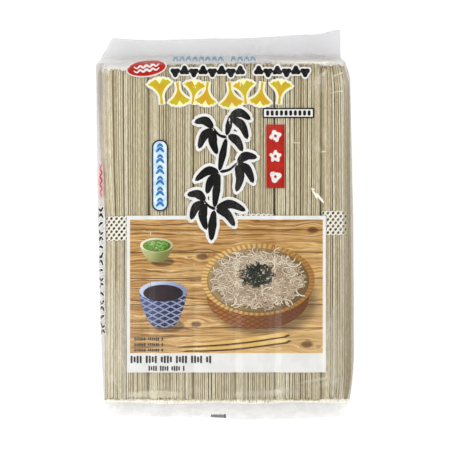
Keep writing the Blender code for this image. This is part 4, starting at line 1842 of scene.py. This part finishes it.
ink_in("side_margin", side_row(0.6), -0.02, INKS["white"])
ink_in("side_strokes", side_row(0.0), -0.07, INKS["black"])
oval_x = side_x(SIDE_OVAL_Y)
ink_in("side_oval", [oval_outline(oval_x, SIDE_OVAL_Y, 1.9, 13.8)], -0.02, INKS["pale_red"])
side_wave = [(oval_x + 0.8 * (-1) ** i, SIDE_OVAL_Y - 11.0 + 2.75 * i) for i in range(9)]
ink_in("side_wave", [stroke_outline(side_wave, 0.8, margin=0.1)], -0.07, INKS["red"])
date = tally_row(-9.9, -1.1, DATE_Y, 2.5, 1.1, 8, 0.42)
date.append(box_outline(-1.0, DATE_Y - 1.4, 0.6, DATE_Y + 1.4))
ink_in("date_stamp", date, -0.04, INKS["grey"])
print(len(prints), "prints")

# %% [markdown]
# ## Camera, floor and light
# The pack lies on its back under a camera that looks straight down. A long lens far away gives nearly
# parallel lines of sight, so hardly anything of the sides shows. Two broad lamps give soft light without
# hard shadows. A bright world and a floor that glows a little keep the ground white, so the clear fins
# stand out as pale grey.

# %% Camera, floor and light
CAMERA_DISTANCE = 1.1
SEEN_WIDTH = 312.75 * MM
SENSOR_MM = 36.0
FLOOR_GLOW = 0.35
WORLD_STRENGTH = 0.58

bpy.context.scene.view_settings.view_transform = "Standard"
bpy.context.scene.view_settings.look = "None"

camera_data = bpy.data.cameras.new("camera")
camera_data.sensor_width = SENSOR_MM
camera_data.lens = SENSOR_MM * CAMERA_DISTANCE / SEEN_WIDTH
camera = bpy.data.objects.new("camera", camera_data)
camera.location = (0.0, 0.0, bag_high.z + CAMERA_DISTANCE)
bpy.context.scene.collection.objects.link(camera)
bpy.context.scene.camera = camera


def floor_finish():
    f = Finish("pale_floor")
    soft = f.grain((400.0, 400.0, 400.0), detail=2.0)
    colour = f.mix(soft, srgb(246, 246, 246), srgb(250, 250, 250))
    return f.close(colour, 0.8, Emission_Color=(1.0, 1.0, 1.0, 1.0), Emission_Strength=FLOOR_GLOW)


def make_floor():
    bm = bmesh.new()
    bmesh.ops.create_grid(bm, x_segments=8, y_segments=8, size=4.0)
    return mesh_object("floor", bm, floor_finish())


floor = make_floor()


def light(name, place, size, power):
    """A square white lamp that shines at the pack."""
    data = bpy.data.lights.new(name, "AREA")
    data.shape = "SQUARE"
    data.size = size
    data.energy = power
    made = bpy.data.objects.new(name, data)
    made.location = place
    made.rotation_euler = (-Vector(place)).to_track_quat("-Z", "Y").to_euler()
    bpy.context.scene.collection.objects.link(made)


light("key", (-0.9, -0.35, 1.3), size=2.0, power=18.0)
light("fill", (0.9, 0.5, 1.2), size=1.6, power=8.8)

world = bpy.data.worlds.new("studio")
world.use_nodes = True
sky = world.node_tree.nodes["Background"].inputs
sky["Color"].default_value = (1.0, 1.0, 1.0, 1.0)
sky["Strength"].default_value = WORLD_STRENGTH
bpy.context.scene.world = world
print("the camera stands", round(camera.location.z, 3), "m up")

# %% [markdown]
# ## Clear film
# A glass shader would bend the light through both sides of a closed skin and darken what lies inside. Thin
# film does neither: it lets light straight through and only mirrors some of it. So the film is a bright
# metal that is nearly transparent. It grows less clear at grazing angles, where it is doubled in the fins,
# and at the sides, where it is creased on the left and carries painted shade on the right. Its sheens, the
# glint at the noodles' bottom ends and the white of its creases are painted highlights, and the top fin is
# made darker over its right half as painted shade.

# %% Patches on the film
# Painted sheens and glints, where slack film would mirror the light: X and Y of the middle, half the length,
# half the width, lean in degrees, strength and how soft its edge is.
SHEENS = (
    (62.4, 21.6, 5.0, 0.75, -60, 0.85, 0.5),
    (66.2, 18.6, 4.6, 0.85, -52, 0.95, 0.5),
    (61.6, 25.0, 1.3, 0.80, -30, 0.80, 0.5),
    (49.6, 57.2, 3.6, 0.60, -4, 0.45, 0.7),
    (68.6, 51.0, 2.4, 0.50, 4, 0.50, 0.7),
    (60.0, 55.0, 9.0, 3.4, -18, 0.14, 0.9),
    (64.0, 99.6, 7.0, 2.8, 12, 0.24, 0.9),
    (67.0, 104.0, 9.0, 1.6, 40, 0.22, 0.9),
    (79.0, 105.0, 6.0, 1.0, 20, 0.34, 0.8),
    (77.0, 92.5, 6.5, 0.8, 10, 0.36, 0.8),
    (60.0, 112.9, 26.0, 0.7, 2, 0.28, 0.8),
    (72.0, 62.0, 6.0, 9.0, 0, 0.10, 0.9),
    (79.0, -20.0, 110.0, 7.5, 90, 0.07, 0.9),
    (76.0, -88.0, 42.0, 7.0, 90, 0.28, 0.9),
    (-77.0, -76.0, 46.0, 9.0, 90, 0.14, 0.9),
    (-74.5, -95.0, 10.0, 1.6, 66, 0.24, 0.9),
    (-48.0, -117.6, 26.0, 3.2, 0, 0.34, 0.8),
    (30.0, -117.0, 34.0, 2.6, 3, 0.16, 0.8),
    (62.0, -108.0, 16.0, 1.4, 10, 0.24, 0.9),
    (-80.0, 108.0, 7.0, 3.0, 8, 0.12, 0.8),
)
# Where the fin leans away from the light.
SHADES = (
    (68.0, 117.2, 17.0, 2.6, -12, 0.7, 0.9),
    (40.0, 119.0, 20.0, 2.4, -2, 0.3, 0.9),
    (-62.0, 119.0, 16.0, 1.6, 0, 0.25, 0.9),
)


def patches(x, y, rows, ragged):
    """How far a place lies in any of those patches, as the strongest of them all."""
    shares = []
    for middle_x, middle_y, half_length, half_width, lean, strength, softness in rows:
        turn = math.radians(lean)
        along = ((x - middle_x) * math.cos(turn) + (y - middle_y) * math.sin(turn)) / half_length
        aside = ((y - middle_y) * math.cos(turn) - (x - middle_x) * math.sin(turn)) / half_width
        shares.append((along * along + aside * aside + ragged).step(1.0, 1.0 - softness) * strength)
    return strongest(shares)


print(len(SHEENS) + len(SHADES), "patches")

# %% Zones of the film
# Each zone: the axis it is measured along, where it starts and where it is full.
ZONES = {
    "front": ("z", 12.0, 18.0),
    "lit": ("z", 18.0, 27.0),
    "up": ("z", 22.0, 28.0),
    "upper": ("y", 45.0, 105.0),
    "lower": ("y", 0.0, -110.0),
    "top_fin": ("y", BLOCK_TOP - 3.0, BLOCK_TOP + 4.5),
    "bottom_fin": ("y", BLOCK_BOTTOM + 2.0, BLOCK_BOTTOM - 3.0),
    "right_half": ("x", -10.0, 60.0),
    "left_nose": ("x", -82.6, -85.0),
    "right_nose": ("x", 81.8, 82.8),
    "right_edge": ("x", 85.4, 87.4),
}


def film_zones(x, y, z):
    """A mask for each zone, for the body between the fins, and for where the film is loose."""
    axes = {"x": x, "y": y, "z": z}
    masks = {name: axes[axis].step(start, full) for name, (axis, start, full) in ZONES.items()}
    zone = SimpleNamespace(**masks)
    fins = zone.top_fin.most(zone.bottom_fin)
    zone.body = 1 - fins
    zone.loose = fins.most(zone.left_nose * 0.6).most(zone.right_nose * zone.lit)
    return zone


print(len(ZONES), "zones")

# %% How cloudy the film is
FILM_IOR = 1.45
HEAD_ON = 0.034  # what such film mirrors when it is looked at straight on


def cloudiness(f, zone):
    """How far the film hides what lies behind it, without its folds, its painted sheens and the painted glint
    at the noodles' tips.
    """
    cloud = f.grain((16.0, 34.0, 12.0), detail=3.0, seed=3.0)
    streaks = f.grain((2.2, 26.0, 4.0), detail=2.0, seed=9.0)
    buckles = f.grain((11.0, 7.0, 5.0), detail=3.0, seed=5.0)
    graze = (f.add("ShaderNodeFresnel", None, {"IOR": FILM_IOR}) - HEAD_ON) * 0.4
    haze = 0.004 + cloud.step(0.35, 0.8) * 0.018 + zone.lower * 0.045
    # The top fin is a little cloudier, so darker, over its right half: painted shade.
    top = zone.top_fin * (0.36 + 0.04 * zone.right_half)
    bottom = zone.bottom_fin * (0.18 + 0.07 * buckles.step(0.35, 0.65))
    left = zone.left_nose * (0.2 + 0.2 * streaks + 0.16 * zone.upper)
    # The right side is clouded with a darker tint as painted shade.
    right = (zone.right_nose * (0.3 + 0.2 * zone.upper) + zone.right_edge * 0.12) * zone.lit
    return haze + graze * (1 - zone.loose) + (top + bottom) + (left + right) * zone.body


def tip_highlight_mask(f, y, zone):
    """The pale, creased film where the bottom ends of the noodles press into it, painted as a highlight that
    stands for their glint.
    """
    tips = (y - BLOCK_BOTTOM).step(1.5, -0.5) * (y - BLOCK_BOTTOM).step(-3.4, -1.6)
    highlight_breakup = 0.25 + 0.5 * f.grain((1.1, 4.0, 3.0), detail=2.0, seed=4.0).step(0.35, 0.65)
    return tips * highlight_breakup * (0.35 + 0.65 * zone.front)


print("clear film mirrors", HEAD_ON)

# %% The film finish
CLEAR = srgb(238, 235, 230)
CLOUDY = srgb(190, 189, 192)
LEFT_TONES = (srgb(190, 183, 188), srgb(176, 171, 167))  # of the lower and the upper part
# Painted shade over the right side, where the noodles' flank turns from the light: of the lower and the upper
# part, and at the very edge.
RIGHT_SHADE_TONES = (srgb(112, 90, 62), srgb(188, 176, 162))
RIGHT_EDGE_SHADE = srgb(138, 128, 110)
BOTTOM_FIN_TONE = srgb(204, 204, 203)
SHADE_TONE = srgb(158, 148, 144)
# The cream of whitened creases and of the painted highlights.
CREASE_AND_HIGHLIGHT_TONE = srgb(250, 243, 220)
MOST_ALPHA = 0.97


def film_finish():
    f = Finish("clear_film")
    x, y, z = f.axes()
    zone = film_zones(x, y, z)
    ragged = f.grain((2.6, 3.4, 3.0), detail=3.0, seed=6.0) - 0.5
    sheen = patches(x, y, SHEENS, ragged * 1.6) * zone.up
    shade = patches(x, y, SHADES, ragged * 0.8)
    tip_highlight = tip_highlight_mask(f, y, zone)
    crease = f.add("ShaderNodeAttribute", {"attribute_name": "crease"}, output="Fac")
    # Creases whiten and catch the light, and the sheens and the glints at the tips are painted highlights:
    # each makes the film cloudier and cream-white.
    alpha = (cloudiness(f, zone) + crease * 0.3 + sheen + tip_highlight).least(MOST_ALPHA)
    white = crease.most(sheen * 3.0).most(tip_highlight * 3.0).least(1.0)
    colour = f.glaze(f.mix(zone.loose, CLEAR, CLOUDY), (
        (zone.left_nose * zone.body, f.mix(zone.upper, *LEFT_TONES)),
        (zone.right_nose * zone.body, f.mix(zone.upper, *RIGHT_SHADE_TONES)),
        (zone.right_edge * zone.body, RIGHT_EDGE_SHADE),
        (zone.bottom_fin, BOTTOM_FIN_TONE),
        (shade * zone.top_fin, SHADE_TONE),
        (white, CREASE_AND_HIGHLIGHT_TONE),
    ))
    rough = 0.16 + 0.2 * zone.loose + 0.3 * zone.bottom_fin.most(zone.right_nose)
    metallic = (0.75 - 0.55 * zone.loose.most(white)) * (1 - zone.right_nose)
    bump = f.grain((5.0, 16.0, 6.0), detail=3.0, seed=7.0)
    return f.close(colour, rough, bump, 0.12 * MM, alpha, Metallic=metallic)


FILM_FINISH = film_finish()
film.data.materials.append(FILM_FINISH)
print("made", FILM_FINISH.name)

# %% [markdown]
# ### Back seam
# A pack like this is a tube of film that is welded down the back. The weld lies flat as a narrow flap, so
# it is a thin closed strip along the back, from fin to fin, in the hollow that was pressed for it.

# %% Lay the seam
SEAM_REACH = 5.5
SEAM_FILM = 0.12
SEAM_ROWS = 120
SEAM_LIFT = 0.05
EDGE_WOBBLE = 0.4
LIFT_WOBBLE = 0.04


def back_seam():
    """A thin strip along the back, whose free edge and height wander a little."""
    bm = bmesh.new()
    rows = []
    for y in np.linspace(BLOCK_BOTTOM + 1.0, BLOCK_TOP - 1.0, SEAM_ROWS):
        left = SEAM_X - SEAM_REACH
        right = SEAM_X + SEAM_REACH + EDGE_WOBBLE * ripple(0.0, y, 0.0, (1, 15, 1))
        lift = SEAM_LIFT + LIFT_WOBBLE * ripple(5.0, y, 0.0, (1, 9, 1))
        rows.append([bm.verts.new(Vector((x, y, lift + up)) * MM)
                     for x, up in ((left, 0), (right, 0), (right, SEAM_FILM), (left, SEAM_FILM))])
    for lower, upper in zip(rows, rows[1:]):
        for i in range(4):
            bm.faces.new((lower[i], lower[(i + 1) % 4], upper[(i + 1) % 4], upper[i]))
    bm.faces.new(rows[0])
    bm.faces.new(rows[-1])
    return mesh_object("back_seam", bm, FILM_FINISH)


seam = back_seam()
print("the seam has", len(seam.data.polygons), "faces")

# %% [markdown]
# ## Tie the pieces to the body
# Every piece is tied to the one body: noodles, paper, print and film. The film takes the place of the solid,
# which is hidden. The dressed pack must not be larger than the solid that collisions are tested with.

# %% Ride with the body
for piece in bundles.values():
    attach(piece, BODY)
for piece in bands.values():
    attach(piece, BODY)
for piece in prints.values():
    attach(piece, BODY)
for piece in (film, seam):
    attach(piece, BODY)
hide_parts(BAG)
